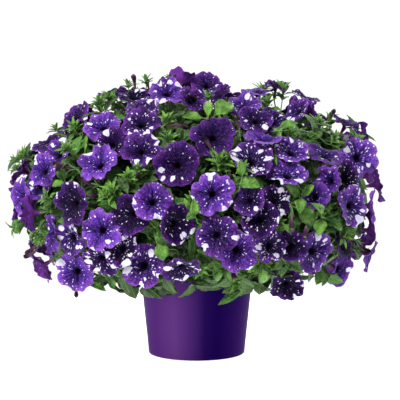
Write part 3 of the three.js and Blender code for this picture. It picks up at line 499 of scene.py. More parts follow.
def young_blooms(blooms, stems):
    """Small late blooms in the gaps of the sides, the back and the top, clear of the leafy tips."""
    places = np.array([bloom["at"] for bloom in blooms])
    radii = np.array([bloom["radius"] for bloom in blooms])
    tips = np.array([run["stations"][-1][0] for stem in stems for run in stem["runs"] if not run["plan"]])
    young = []
    for at in gaps_between(blooms, YOUNG["candidates"]):
        if at[1] < YOUNG["behind"] or at[2] < YOUNG["lowest"]:
            continue
        seed = SEEDS["young"] + len(young)
        radius = YOUNG["least"] + (YOUNG["most"] - YOUNG["least"]) * draw(seed, 51)
        room = (np.linalg.norm(places - at, axis=1) - radii).min()
        if room < radius + YOUNG["room"] or np.linalg.norm(tips - at, axis=1).min() < YOUNG["tip_room"]:
            continue
        if any(np.linalg.norm(other["at"] - at) < YOUNG["apart"] for other in young):
            continue
        face = unit(outward_at(at) + YOUNG["lean"] * (draw(seed, np.arange(52, 55)) - 0.5))
        bloom = new_bloom(at - outward_at(at) * YOUNG["inset"], face, radius, seed)
        young.append({**bloom, "look": blooms[(11 * len(young) + 5) % len(FRONT_BLOOMS)]["look"]})
    return young


def placed_buds(blooms):
    """The front buds by their pixels, and mirrored where the two stand well apart, clear of the blooms.

    Of a bud or a flower going over, the stalk holds a seed and an age, the calyx a lean, a seed and an age.
    """
    places = []
    for i, (pixel_x, pixel_y, yaw, pitch, length) in enumerate(FRONT_BUDS):
        tip, way = seen_at(pixel_x, pixel_y, -BUD["proud"]), facing(yaw, pitch)
        places.append((tip, way, length, i + 1))
        if np.linalg.norm(tip - tip * FAR_SIDE) > BUD["apart"]:
            places.append((tip * FAR_SIDE, way * FAR_SIDE, length, i + 1 + SEEDS["far_bud"]))
    buds = []
    for tip, way, length, seed in places:
        foot = tip - way * length
        if not hits([[tip, foot]], blooms):
            buds.append({
                "foot": foot, "way": way, "length": length, "seed": seed, "shape": bud_rings,
                "roll": 120 * draw(seed, 3), "stalk": (seed + SEEDS["bud_stalk"], 0.4),
                "calyx": (0.3, seed + SEEDS["bud_calyx"], 0.35),
            })
    return buds


def spent_flowers():
    """The flowers going over, by the pixels of their two ends."""
    flowers = []
    for i, (foot_x, foot_y, tip_x, tip_y) in enumerate(SPENT):
        foot, tip, seed = seen_at(foot_x, foot_y, 8), seen_at(tip_x, tip_y, -6), SEEDS["spent"] + i
        flowers.append({
            "foot": foot, "way": unit(tip - foot), "length": np.linalg.norm(tip - foot), "seed": seed,
            "shape": spent_rings, "roll": 360 * draw(seed, 3), "stalk": (seed, 0.5),
            "calyx": (0.35, seed, 0.4),
        })
    return flowers


# ---------------------------------------------------------------- sprays, shoots and leafy tips


def cell_of(point):
    """The part of the mound that a point lies in: a stem's sector, and low, middle or top."""
    turn = (math.atan2(point[1], point[0]) / (2 * math.pi) + 1) % 1
    level = 0 if point[2] < SPRAY["low_below"] else 1 if point[2] < SPRAY["top_above"] else 2
    return int(turn * STEM["count"]) * 3 + level


def nearest_plan(plans, point):
    """The spray whose hub lies nearest to a point."""
    return min(plans, key=lambda plan: np.linalg.norm(plan["hub"] - point))


def spray_plans(blooms, buds):
    """Blooms and buds by cell, with the hub that their stalks meet in and the way its shoot arrives."""
    plans = {}
    for bloom in blooms:
        cell = cell_of(bloom["at"])
        plan = plans.setdefault(cell, {"cell": cell, "blooms": [], "young": [], "closed": []})
        plan["blooms"].append(bloom)
    for plan in plans.values():
        mean = np.mean([tube_foot(bloom) for bloom in plan["blooms"]], axis=0)
        way = unit(mean - UP * MOUND["core"])
        plan["hub"] = mean - SPRAY["hub_inset"] * way
        plan["way"] = unit(way - UP * SPRAY["droop"]) if mean[2] < SPRAY["low_below"] else way
    for bud in buds:
        nearest_plan(plans.values(), bud["foot"])["closed"].append(bud)
    return [plans[cell] for cell in sorted(plans)]


def stem_foot(k):
    """Where stem k leaves the potting mix."""
    a = (k + 0.5) / STEM["count"] * 2 * math.pi
    r = STEM["rings"][k % 2]
    return np.array([r * math.cos(a), r * math.sin(a), SOIL_TOP])


def swayed(step, attempt):
    """How far a curve sways to its side: to one and the other side in turn, further each time."""
    return step * attempt * (1 if attempt % 2 else -1)


def shoot_controls(foot, plan, attempt):
    """Four points of a shoot's curve: up from the stem's foot, over the pot's lip and out to the hub."""
    way, level = plan["way"], plan["cell"] % 3
    end = plan["hub"] - way * (SPRAY["knot_half"] + 1.2 * GAP)
    side = sides_of(way)[0] * swayed(SHOOT["sway"], attempt)
    outward = unit(foot * np.array([1.0, 1.0, 0.0]))
    return [
        foot + outward * SHOOT["out"] * (1 - level) + UP * SHOOT["up"],
        foot + UP * SHOOT["rise"][level] + outward * SHOOT["spread"][level] + side,
        end + way * SHOOT["arrive"][level],
        end,
    ]


def tip_controls(start, at, attempt):
    """Four points of a leafy tip's curve, from its shoot out to a gap between the blooms."""
    out = outward_at(at)
    side = sides_of(out)[0] * swayed(TUFT["sway"], attempt)
    tip = at + out * (TUFT["proud"] - TUFT["sink"] * attempt) + side / 3
    return [start, start + out * TUFT["leave"] + side, tip - out * TUFT["arrive"] + side, tip]


class Corners:
    """The corners of some solids, to tell by which of a rule's ways they were built."""

    def __init__(self, names):
        points = [(np.array([v.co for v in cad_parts[name].data.vertices]) / MM, name) for name in names]
        self.names = [name for places, name in points for _ in places]
        self.tree = KDTree(len(self.names))
        for i, place in enumerate(np.concatenate([places for places, _ in points])):
            self.tree.insert(place, i)
        self.tree.balance()

    def miss(self, points):
        """The mean distance from points to their nearest corners."""
        return float(np.mean([self.tree.find(point)[2] for point in points]))

    def owner(self, points):
        """The solid that most of the points' nearest corners are on."""
        near = [self.names[self.tree.find(point)[1]] for point in points]
        return max(set(near), key=near.count)


def ring_points(at, sides, radius, count):
    """Points round a centre: at + radius (cos a u + sin a v)."""
    a = round_angles(count)
    return at + radius * (np.outer(np.cos(a), sides[0]) + np.outer(np.sin(a), sides[1]))


def best_curve(controls_of, attempts, radii, ring_count, corners):
    """The curve, out of those that a rule tries, whose rings lie in the corners of the solid."""
    tried = []
    for attempt in range(attempts):
        controls = controls_of(attempt)
        stations = stations_of(controls, len(radii))
        rings = [ring_points(at, sides, r, ring_count) for (at, _, sides), r in zip(stations[1:], radii[1:])]
        miss = corners.miss(np.concatenate(rings))
        tried.append({"miss": miss, "controls": controls, "stations": stations})
    return min(tried, key=lambda run: run["miss"])


def whorl(seed, count, length, rise):
    """The wish for a whorl of broad leaves, with its length, rise and turn drawn by its seed."""
    return {
        "count": count, "narrow": False, "start": 360 * draw(seed, 3),
        "length": length * (0.85 + 0.3 * draw(seed, 1)), "rise": rise + 0.25 * (draw(seed, 2) - 0.5),
    }


def whorl_at(station, wish, corners):
    """The leaves of one whorl of the solid: of the turns and lengths tried, those that its corners fit.

    A leaf's tip lies at centre + out * length + way * length * rise.
    """
    at, way, sides = station
    centre = at + way * WHORL["raised"]
    best = None
    for share in WHORL["sizes"]:
        for turn in range(WHORL["turns"]):
            leaves, total = [], 0.0
            for k in range(wish["count"]):
                a = wish["start"] + turn * 360 / (WHORL["turns"] * wish["count"]) + k * 360 / wish["count"]
                out = about(sides, math.radians(a))
                lengths = [wish["length"] * share * cut for cut in WHORL["cuts"]]
                tips = [centre + out * n + way * n * wish["rise"] for n in lengths]
                misses = [corners.miss([tip]) for tip in tips]
                i = int(np.argmin(misses))
                total += misses[i]
                leaves.append({"base": centre, "tip": tips[i], "up": way, "narrow": wish["narrow"]})
            if best is None or total < best[0]:
                best = (total, leaves)
    return best[1] if best[0] < WHORL["worst_miss"] * wish["count"] else []


def grown_stems(plans, blooms):
    """Every shoot and leafy tip, stem by stem: its curve, its radii, and the solid's own leaves."""
    stems = []
    for k in range(STEM["count"]):
        name = f"leafy_stem_{k + 1:02d}"
        stems.append({"name": name, "foot": stem_foot(k), "runs": [], "corners": Corners([name])})
    ends = (STEM["radius"], STEM["tip_radius"])
    for plan in plans:
        stem, seed = stems[plan["cell"] // 3], SEEDS["shoot"] + plan["cell"]
        run = best_curve(
            lambda attempt: shoot_controls(stem["foot"], plan, attempt),
            STEM["attempts"], np.linspace(*ends, STEM["stations"]), 4, stem["corners"],
        )
        leaves = whorl_at(run["stations"][4], whorl(seed, 2, TUFT["leaf"], 0.4), stem["corners"])
        run.update(leaves=leaves, plan=plan, seed=seed, radii=ends)
        stem["runs"].append(run)
    shoots = [(run, stem) for stem in stems for run in stem["runs"]]
    chosen = []
    for at in gaps_between(blooms, TUFT["candidates"]):
        if len(chosen) < TUFT["count"] and all(np.linalg.norm(p - at) > TUFT["spacing"] for p in chosen):
            chosen.append(at)
    for i, at in enumerate(chosen):
        shoot, stem = min(shoots, key=lambda pair: np.linalg.norm(pair[0]["plan"]["hub"] - at))
        start, seed, corners = shoot["stations"][3][0], SEEDS["tip"] + i, stem["corners"]
        run = best_curve(
            lambda attempt: tip_controls(start, at, attempt), TUFT["attempts"], TUFT["radii"], 3, corners,
        )
        if run["miss"] > TUFT["worst_miss"]:
            continue
        narrow = {"count": 4, "narrow": True, "length": TUFT["tip_leaf"], "rise": 0.55}
        narrow["start"] = 72 * draw(seed, 5)
        leaves = whorl_at(run["stations"][2], whorl(seed, 2, TUFT["leaf"], 0.5), corners)
        leaves += whorl_at(run["stations"][3], whorl(seed + 70, 3, TUFT["leaf"] * 0.8, 0.45), corners)
        leaves += whorl_at(run["stations"][4], narrow, corners)
        run.update(leaves=leaves, plan=None, seed=seed, radii=TUFT["ends"])
        stem["runs"].append(run)
    return stems


# ---------------------------------------------------------------- meshes from grids of points


def closed_skins(rings):
    """Closed skins from rings of shape (skins, rows, columns, 3), their columns counter-clockwise
    about the way the rows run. Each end is closed by a fan to the middle of its ring.
    Returns the points, and the faces as rows of four corners, a fan's last corner being -1.
    """
    skins, rows, cols = rings.shape[:3]
    poles = rings[:, [0, -1]].mean(axis=2)
    points = np.concatenate([rings.reshape(skins, rows * cols, 3), poles], axis=1)
    row, col = np.meshgrid(np.arange(rows - 1), np.arange(cols), indexing="ij")
    here, along = row * cols + col, row * cols + (col + 1) % cols
    sheet = np.stack([here, along, along + cols, here + cols], axis=-1).reshape(-1, 4)
    c, pole, last, none = np.arange(cols), np.full(cols, rows * cols), (rows - 1) * cols, np.full(cols, -1)
    first = np.stack([pole, (c + 1) % cols, c, none], axis=-1)
    final = np.stack([pole + 1, last + c, last + (c + 1) % cols, none], axis=-1)
    faces = np.concatenate([sheet, first, final])
    moved = faces[None] + np.arange(skins)[:, None, None] * (rows * cols + 2)
    moved = np.where(faces[None] < 0, -1, moved)
    return points.reshape(-1, 3), moved.reshape(-1, 4)


class Skins:
    """Batches of closed skins that make one piece, with values carried on their points."""

    def __init__(self, **kinds):
        self.kinds = kinds
        self.points, self.faces, self.values = [], [], {name: [] for name in kinds}
        self.count = 0

    def add(self, rings, **values):
        """Adds skins. A value is given for each ring point, or for whatever part of it broadcasts."""
        skins, rows, cols = rings.shape[:3]
        points, faces = closed_skins(rings)
        self.points.append(points)
        self.faces.append(np.where(faces < 0, -1, faces + self.count))
        self.count += len(points)
        for name, size in self.kinds.items():
            full = np.broadcast_to(values[name], (skins, rows, cols, size))
            poles = full[:, [0, -1]].mean(axis=2)
            joined = np.concatenate([full.reshape(skins, rows * cols, size), poles], axis=1)
            self.values[name].append(joined.reshape(-1, size))

    def mesh(self, name):
        """An object whose mesh holds the skins, in metres, with their values as attributes."""
        points = np.concatenate(self.points) * MM
        faces = np.concatenate(self.faces)
        four = faces[:, 3] >= 0
        corners = np.concatenate([faces[four].ravel(), faces[~four][:, :3].ravel()])
        sizes = np.concatenate([np.full(four.sum(), 4), np.full((~four).sum(), 3)])
        starts = np.concatenate([[0], np.cumsum(sizes)[:-1]])
        mesh = bpy.data.meshes.new(name)
        mesh.vertices.add(len(points))
        mesh.vertices.foreach_set("co", points.astype(np.float32).ravel())
        mesh.loops.add(len(corners))
        mesh.loops.foreach_set("vertex_index", corners.astype(np.int32))
        mesh.polygons.add(len(sizes))
        mesh.polygons.foreach_set("loop_start", starts.astype(np.int32))
        mesh.update(calc_edges=True)
        mesh.polygons.foreach_set("use_smooth", np.ones(len(sizes), dtype=bool))
        for value, size in self.kinds.items():
            kind, field = ("FLOAT", "value") if size == 1 else ("FLOAT_VECTOR", "vector")
            layer = mesh.attributes.new(value, kind, "POINT")
            layer.data.foreach_set(field, np.concatenate(self.values[value]).astype(np.float32).ravel())
        thing = bpy.data.objects.new(name, mesh)
        bpy.context.scene.collection.objects.link(thing)
        return thing

    def piece(self, name, material, slot, nodes):
        """The skins as a finished piece of one material."""
        settled(self.mesh(name), material, nodes)


def settled(piece, material, nodes):
    """Gives a piece its material and its body, and hides the nodes it stands for."""
    piece.data.materials.append(material)
    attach(piece, "root")
    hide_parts(*nodes)


def turned(profile, count, flutes=0.0):
    """Rings of a profile's (radius, height) turned round Z: (r cos a, r sin a, z), with five flutes."""
    a = round_angles(count)
    r, z = np.array(profile).T[..., None]
    r = r * (1 + flutes * np.cos(5 * a))
    return np.stack([r * np.cos(a), r * np.sin(a), np.broadcast_to(z, r.shape)], -1)[None]


# ---------------------------------------------------------------- blooms


def gathered(things, key):
    """One value of each of some things, as an array with an axis for rows and one for columns."""
    return np.array([thing[key] for thing in things], dtype=float).reshape(len(things), 1, 1, -1)


def waves(angles, table, turns):
    """The sum of height sin(count a + turn), for a table of counts and heights."""
    return sum(height * np.sin(count * angles + turn) for (count, height), turn in zip(table, turns))


def limb_surface(seeds):
    """The face of each limb in shares of its radius: x, y in the rim plane and z along the face.

    A share s runs from the throat, 0, to the rim, 1, and lobe = cos(5 angle) from the notches, -1,
    to the middles of the lobes, 1. The rim's radius is 1 - notch ((1 - lobe) / 2)^5 with a slow and a
    quick wave. The height is the funnel -depth (1 - s)^2.3, a crease that deepens to the notches, a
    groove down the middle of each lobe, a bend of each lobe to or from the viewer that grows as s^2.2,
    and ripples that grow as s^3 to the rim.
    """
    s, a = FACE_SHARES[None, :, None], round_angles(COLUMNS)
    lobe = np.cos(5 * a)
    outward, inward = (1 + lobe) / 2, (1 - lobe) / 2
    pick = [draw(seeds[..., 0], 100 + k) for k in range(31)]
    turns = [2 * math.pi * pick[k] for k in range(11)]
    rim = 1.0 - BLOOM["notch"] * (0.35 + 0.9 * pick[20]) * inward**5 + waves(a, RIM_WAVES, turns[:4])
    radius = BLOOM["throat"] + (rim * BLOOM["rim"] - BLOOM["throat"]) * s
    height = -BLOOM["depth"] * (1 - s) ** 2.3
    height = height - (0.05 + 0.06 * pick[21]) * inward**3 * s * (1.6 - s)
    height = height - 0.03 * outward**10 * 4 * s * (1 - s)
    for k in range(5):
        off = (a - 2 * math.pi * k / 5 + math.pi) % (2 * math.pi) - math.pi
        height = height + BLOOM["bend"] * (pick[26 + k] - 0.5) * np.exp(-((off / 0.42) ** 2)) * s**2.2
    height = height + (0.04 + 0.08 * pick[25]) * np.sin(5 * a + 2 * math.pi * pick[24]) * s**2 * (1.3 - s)
    height = height + (0.9 + 1.3 * pick[22]) * waves(a, RIPPLES, turns[4:]) * s**3
    height = height + 0.06 - (0.02 + 0.16 * pick[23]) * outward * s**5
    return np.stack([radius * np.cos(a), radius * np.sin(a), height], axis=-1)


def bloom_rings(blooms):
    """Rings of all blooms' skins, with the values that their colours need.

    The rows run up the outside of the tube, along the back of the limb, over the rim, down the face
    and into the throat. The back lies a petal's thickness behind the face along its normal.
    """
    seeds, radii, axis, at, look = (gathered(blooms, key) for key in ("seed", "radius", "face", "at", "look"))
    face = limb_surface(seeds)
    ends = np.concatenate([face[:, :, -1:], face, face[:, :, :1]], axis=2)
    normal = unit(np.cross(np.gradient(face, axis=1), (ends[:, :, 2:] - ends[:, :, :-2]) / 2))
    normal = np.where(normal[..., 2:] < 0, -normal, normal)
    thick = PETAL_THICKNESS / radii * np.clip((1 - FACE_SHARES) * 12, 0.25, 1.0)[:, None, None]
    back = (face - normal * thick)[:, :0:-1]
    # The tube's outside narrows to its foot, and its inside ends in the throat.
    outside, inside = (
        np.tile(turned(profile, COLUMNS, flutes=0.05), (len(blooms), 1, 1, 1)) for profile in (TUBE, THROAT)
    )
    local = np.concatenate([outside, back, face, inside], axis=1)
    outer, inner = TUBE[:, 1] + BLOOM["depth"], THROAT[:, 1] + BLOOM["depth"]
    flare = np.concatenate([outer, FACE_SHARES[:0:-1], FACE_SHARES, inner])
    behind = np.arange(len(flare)) < len(TUBE) + len(FACE_SHARES) - 1
    sides = np.array([sides_of(bloom["face"], 72 * draw(bloom["seed"], 9)) for bloom in blooms])
    u, v = sides[:, 0, None, None], sides[:, 1, None, None]
    rings = at + radii * (local[..., :1] * u + local[..., 1:2] * v + local[..., 2:] * axis)
    spot = np.concatenate([local[..., :2] * radii, np.broadcast_to(seeds, local[..., :1].shape)], -1)
    return rings, {"spot": spot, "flare": flare[:, None, None], "behind": behind[:, None, None], "look": look}


def closed_rings(flower, shares, reach, angles, sag, flare, red):
    """Rings along a closed flower, which sags to its sides, with the values that its colours need."""
    u, v = sides_of(flower["way"], flower["roll"])
    bend = np.sin(math.pi * shares)[:, None] * (u * sag[0] + v * sag[1])
    at = flower["foot"] + (flower["way"] * shares[:, None] + bend) * flower["length"]
    cos, sin = np.cos(angles), np.sin(angles)
    rings = at[:, None] + reach[..., None] * (cos[..., None] * u + sin[..., None] * v)
    spot = np.stack([cos * 3, sin * 3, np.full(angles.shape, float(flower["seed"]))], -1)
    return rings[None], {"spot": spot, "flare": flare[:, None, None], "behind": 1.0, "look": (0.5, red, 0.0)}


def bud_rings(bud):
    """A bud: a slim tube that swells below its twisted tip, with five flutes that grow as its share t."""
    shares = np.array([0.0, 0.12, 0.3, 0.5, 0.66, 0.78, 0.88, 0.95, 1.0])
    radii = np.array([0.85, 1.05, 1.25, 1.7, 2.4, 3.2, 3.4, 2.3, 0.6]) * bud["length"] / 32
    angles, t = round_angles(10), shares[:, None]
    reach = radii[:, None] * (1 + 0.18 * t * np.cos(5 * angles))
    twist, flare = 1.6 * t**2, shares - 2.0
    return closed_rings(bud, shares, reach, angles + twist, (0.0, 0.0), flare, draw(bud["seed"], 5))


def spent_rings(flower):
    """A flower going over: a slack tube that widens to its end, where the limb has shrivelled and twisted.

    Its crumple, sin(5 a) and sin(3 a), grows as the cube of its share t.
    """
    shares = np.array([0.0, 0.15, 0.32, 0.5, 0.66, 0.8, 0.9, 0.97, 1.0])
    radii = np.array([1.1, 1.3, 1.6, 2.0, 2.5, 3.1, 3.0, 2.3, 0.9])
    angles, t, seed = round_angles(12), shares[:, None], flower["seed"]
    crumple = 1 + t**3 * (0.3 * np.sin(5 * angles + 7 * seed) + 0.25 * np.sin(3 * angles + seed))
    twist, flare = 1.2 * t**2, -3.2 - 1.4 * shares**1.5
    return closed_rings(flower, shares, radii[:, None] * crumple, angles + twist, (0.07, 0.05), flare, 0.5)


# ---------------------------------------------------------------- leaves and stems


def leaf_rings(base, tip, up, width, arch, fold, seed):
    """Leaves from their bases to their tips: an egg-shaped blade, arched, folded along its rib and waved.

    Its half width at a share t of its length is width / 2 sin(pi t^0.8)^0.75, down to its stalk. The
    top's points run over the blade from edge to edge, and the underside's run back.
    """
    length = np.linalg.norm(tip - base, axis=1)
    e1 = unit(tip - base)
    e3 = unit(up - e1 * (up * e1).sum(-1, keepdims=True))
    e1, e2, e3 = (e[:, None, None] for e in (e1, np.cross(e3, e1), e3))
    t = BLADE_ROWS
    half = 0.5 * np.sin(math.pi * np.clip(t, 1e-3, 1 - 1e-3) ** 0.8) ** 0.75
    stalk = np.clip(1.4 - 6 * t, 0.0, 1.0) * (t < 0.15)
    half = width[:, None] * np.where(t < 0.15, half * 0.35, half) + 0.55 * stalk
    half[:, -1] = 0.15
    across, down = BLADE_ACROSS, t[:, None]
    first, second = (6.3 * draw(seed, k)[:, None, None] for k in (1, 2))
    wave = 0.05 * np.sin(9 * down + first + 2.0 * across) + 0.04 * np.sin(17 * down + second - 1.5 * across)
    lift = fold[:, None, None] * np.abs(across) ** 1.3 + wave * np.abs(across)
    height = lift * half[..., None] * 2 + (arch * length)[:, None, None] * np.sin(math.pi * down**0.9)
    side = across * half[..., None]
    run = np.broadcast_to(length[:, None, None] * down, side.shape)
    top = base[:, None, None] + e1 * run[..., None] + e2 * side[..., None] + e3 * height[..., None]
    under = top[:, :, -2:0:-1] - e3 * BLADE_THICKNESS
    inner = np.concatenate([side, side[:, :, -2:0:-1]], axis=2)
    blade = np.stack(np.broadcast_arrays(inner, run[..., :1], seed[:, None, None]), axis=-1)
    beneath = np.arange(inner.shape[2]) >= len(across)
    return np.concatenate([top, under], axis=2), blade, beneath[:, None]


class Greens(Skins):
    """The green skins of one piece: its rods, and its leaves, which are gathered and added last."""

    def __init__(self):
        super().__init__(blade=3, age=1, kind=1, beneath=1)
        self.leaves = []

    def rod(self, stations, radii, cols, age, kind="stem", seed=0.0):
        """Adds a round stem along some stations, its radii spread evenly along it."""
        radii = np.interp(np.linspace(0, 1, len(stations)), np.linspace(0, 1, len(radii)), radii)
        rings = [ring_points(at, sides, radius, cols) for (at, _, sides), radius in zip(stations, radii)]
        along = np.concatenate([[0.0], np.cumsum(steps_of(stations))])[:, None]
        blade = np.stack(np.broadcast_arrays(np.cos(round_angles(cols)) * 3, along, float(seed)), -1)
        self.add(np.array(rings)[None], blade=blade, age=age, kind=GREEN[kind], beneath=0.0)

    def leaf(self, base, tip, up, width, arch, fold, age, seed):
        """Keeps a leaf, to be added with all others."""
        self.leaves.append((base, tip, up, width, arch, fold, age, seed))

    def piece(self, name, material, slot, nodes):
        """The rods and the leaves as a finished piece of one material."""
        columns = (np.array(column, dtype=float) for column in zip(*self.leaves))
        base, tip, up, width, arch, fold, age, seed = columns
        rings, blade, beneath = leaf_rings(base, tip, up, width, arch, fold, seed)
        self.add(rings, blade=blade, age=age[:, None, None, None], kind=GREEN["leaf"], beneath=beneath)
        super().piece(name, material, slot, nodes)


def straight(name, at, way, sides):
    """Stations along a straight line through a place, as far along it as its name tells."""
    return [(at + way * h, way, sides) for h in STRAIGHT[name]]


def frill(greens, at, way, sides, count, length, width, lean, seed, age):
    """A ring of narrow leaves, such as a calyx or a shoot's tip, that lean out from its way."""
    for k in range(count):
        own = seed + 0.37 * k
        out = about(sides, 2 * math.pi * (k + 0.5 * (draw(own, 1) - 0.5)) / count)
        along = about((way, out), lean * (0.6 + 0.8 * draw(own, 2)))
        base, reach = at + out * 1.2, length * (0.8 + 0.4 * draw(own, 3))
        greens.leaf(base, base + along * reach, -out + way * 0.3, width, 0.1, 0.2, age, own)


def star(greens, at, way, size, seed):
    """A shoot's tip: narrow young leaves in tiers round it, the inner ones upright."""
    sides = sides_of(way, 360 * draw(seed, 9))
    for height, count, length, width, lean, turn, age in STAR_TIERS:
        place = at + way * size * height
        frill(greens, place, way, sides, count, size * length, size * width, lean, seed + turn, age)


def hangs_low(place):
    """Whether a place is under the foliage's lower edge, which lies higher round the pot."""
    away = math.hypot(place[0], place[1])
    if away > NEAR_POT["to"]:
        return place[2] < HANG_LEAST
    return place[2] < NEAR_POT["least"] + NEAR_POT["slope"] * (away - NEAR_POT["from"])


def add_clear_leaf(greens, base, tip, up, width, blooms, seed, age):
    """Adds a leaf, shortened by steps where its blade would cross a bloom, if it finds room."""
    if hangs_low(tip):
        return
    near = near_blooms(base, blooms, np.linalg.norm(tip - base))
    side = unit(np.cross(up, tip - base)) * width / 2
    for share in LEAF["cuts"]:
        end = base + (tip - base) * share
        middle = base + (end - base) * LEAF["widest"]
        if not hits([[base, end], [middle - side * share, middle + side * share]], near):
            arch, fold = 0.05 + 0.13 * draw(seed, 7), 0.06 + 0.2 * draw(seed, 8)
            greens.leaf(base, end, up, width * share, arch, fold, age, seed)
            return


def leaf_pair(greens, joint, turn, reach, blooms, seed, youngest, oldest):
    """Two leaves across from each other at a joint, with their lengths about `reach`."""
    at, way, sides = joint
    for side in range(2):
        own = seed + 0.5 * side
        out = about(sides, math.radians(turn + 180 * side + 50 * (draw(own, 1) - 0.5)))
        length = reach * (0.75 + 0.6 * draw(own, 2))
        rise = 0.25 + 0.6 * draw(own, 3)
        tip = at + (out + way * rise) * length / math.sqrt(1 + rise * rise) - UP * (2.0 + 5 * draw(own, 4))
        width = length * (0.5 + 0.16 * draw(own, 5))
        age = youngest + (oldest - youngest) * draw(own, 6)
        add_clear_leaf(greens, at, tip, way, width, blooms, own, age)


# ---------------------------------------------------------------- what grows on the stems


def point_on(stations, share):
    """The place, way and sides at a share of the way along a row of stations."""
    at = share * (len(stations) - 1)
    i = min(int(at), len(stations) - 2)
    near, far = stations[i], stations[i + 1]
    return near[0] + (far[0] - near[0]) * (at - i), near[1], near[2]


def grow_along(run, greens, blooms):
    """Leaves up a shoot or leafy tip: two at each joint, each pair a quarter turn on from the last."""
    stations = stations_of(run["controls"], STATIONS["joints"])
    count = max(3, int(sum(steps_of(stations)) / TUFT["joint_step"]))
    first, last = JOINTS["shoot" if run["plan"] else "tip"]
    for k in range(count):
        joint = point_on(stations, first + (last - first) * (k + draw(run["seed"], 20 + k)) / count)
        seed = run["seed"] * 7.0 + 3 * k
        leaf_pair(greens, joint, 90 * k, JOINTS["leaf"], blooms, seed, *JOINTS["ages"])


def solid_leaves(run, greens):
    """The leaves that the stem's solid has, at their own places and lengths, older the lower they lie."""
    for k, leaf in enumerate(run["leaves"]):
        base, tip, narrow = leaf["base"], leaf["tip"], leaf["narrow"]
        if narrow and hangs_low(tip):
            continue
        seed = run["seed"] * 3.0 + k
        width = 5.0 if narrow else 0.62 * np.linalg.norm(tip - base)
        age = max(0.1 if narrow else 0.25 + 0.4 * draw(seed, 6), np.clip((170.0 - tip[2]) / 60.0, 0.0, 0.85))
        greens.leaf(base, tip, leaf["up"], width, 0.1, 0.15, age, seed)


def carrier_of(point, way, stems, blooms, nearest=8):
    """The stem and the curve of a side shoot that carries something, after how often it crosses a bloom:
    from the nearest place on a shoot from which it reaches the point without crossing one.
    """
    starts = [(at, stem) for stem in stems for at in stem["starts"]]
    away = np.linalg.norm(np.array([at for at, _ in starts]) - point, axis=1)
    every, share, tried = SIDE_SHOOT["every"], SIDE_SHOOT["share"], []
    for i in np.argsort(away)[:nearest * every:every]:
        start, stem = starts[i]
        reach = np.linalg.norm(point - start)
        rising = start + (point - start) * share + UP * SIDE_SHOOT["rise"] * reach
        stations = stations_of([start, rising, point - way * share * reach, point], SIDE_SHOOT["stations"])
        lines = [[a[0], b[0]] for a, b in zip(stations, stations[1:])]
        count = hits(lines, near_blooms(point, blooms, reach))
        tried.append((count, reach, stem, stations))
        if count == 0:
            break
    count, _, stem, stations = min(tried, key=lambda entry: entry[:2])
    return count, stem, stations


def leaf_crossings(base, tip, up, width, blooms):
    """How many lines of a leaf cross a bloom: its rib and two lines across it."""
    side = unit(np.cross(up, tip - base)) * width * 0.42
    middles = [base + (tip - base) * share for share in (0.4, 0.7)]
    lines = [[base, tip]] + [[middle - side, middle + side] for middle in middles]
    return hits(lines, near_blooms(base, blooms, np.linalg.norm(tip - base)))


def grow_stars(stems, blooms):
    """The shoot tips that show, each on a side shoot from the nearest stem, where it crosses no bloom."""
    for i, (pixel_x, pixel_y, size) in enumerate(STARS):
        seed, tried = SEEDS["star"] + i, []
        for nudge in NUDGES:
            at = seen_at(pixel_x, pixel_y, STAR["inset"] + nudge)
            way = unit(outward_at(at) + np.array(STAR["turn"]))
            side = sides_of(way)[0] * size * 0.5
            lines = [[at - way * size * 0.4, at + way * size * 0.6], [at - side, at + side]]
            tried.append((hits(lines, near_blooms(at, blooms, size)), at, way))
        _, at, way = min(tried, key=lambda entry: entry[0])
        at = at - way * size * STAR["under"]
        _, stem, stations = carrier_of(at, way, stems, blooms)
        stem["greens"].rod(stations, *RODS["star"], seed=seed)
        star(stem["greens"], at, way, size, seed)
        leaf_pair(stem["greens"], stations[-2], 40, size * 0.9, blooms, seed, 0.2, 0.5)


def leaf_ends(row, hangs, nudge):
    """The base and tip of a leaf that shows: on the mound, or in front of the pot's axis if it hangs."""
    if hangs:
        return seen_before(*row[:2], row[6] - 10 - nudge), seen_before(*row[2:4], row[6] - nudge)
    return seen_at(*row[:2], row[6] + 9 + nudge), seen_at(*row[2:4], row[6] + nudge)


def grow_shown_leaves(stems, blooms):
    """The leaves that show, each on its stalk from the nearest stem, where it crosses no bloom."""
    rows = [(row, False) for row in FRONT_LEAVES] + [(row, True) for row in LIP_LEAVES]
    for i, (row, hangs) in enumerate(rows):
        seed, width, age = SEEDS["shown_leaf"] + i, row[4] * MM_PER_PIXEL, row[5]
        up = unit(np.array([0.15 * (draw(seed, 8) - 0.5), -0.85, 0.15 if hangs else 0.5]))
        ends = [leaf_ends(row, hangs, nudge) for nudge in NUDGES]
        base, tip = min(ends, key=lambda pair: leaf_crossings(*pair, up, width, blooms))
        _, stem, stations = carrier_of(base, unit(tip - base), stems, blooms)
        stem["greens"].rod(stations, *RODS["shown_leaf"], seed=seed)
        arch, fold = 0.05 + 0.12 * draw(seed, 7), 0.14 + 0.22 * draw(seed, 9)
        if hangs:
            arch, fold = 0.04, -0.05 - 0.06 * draw(seed, 9)
        stem["greens"].leaf(base, tip, up, width, arch, fold, age, seed)


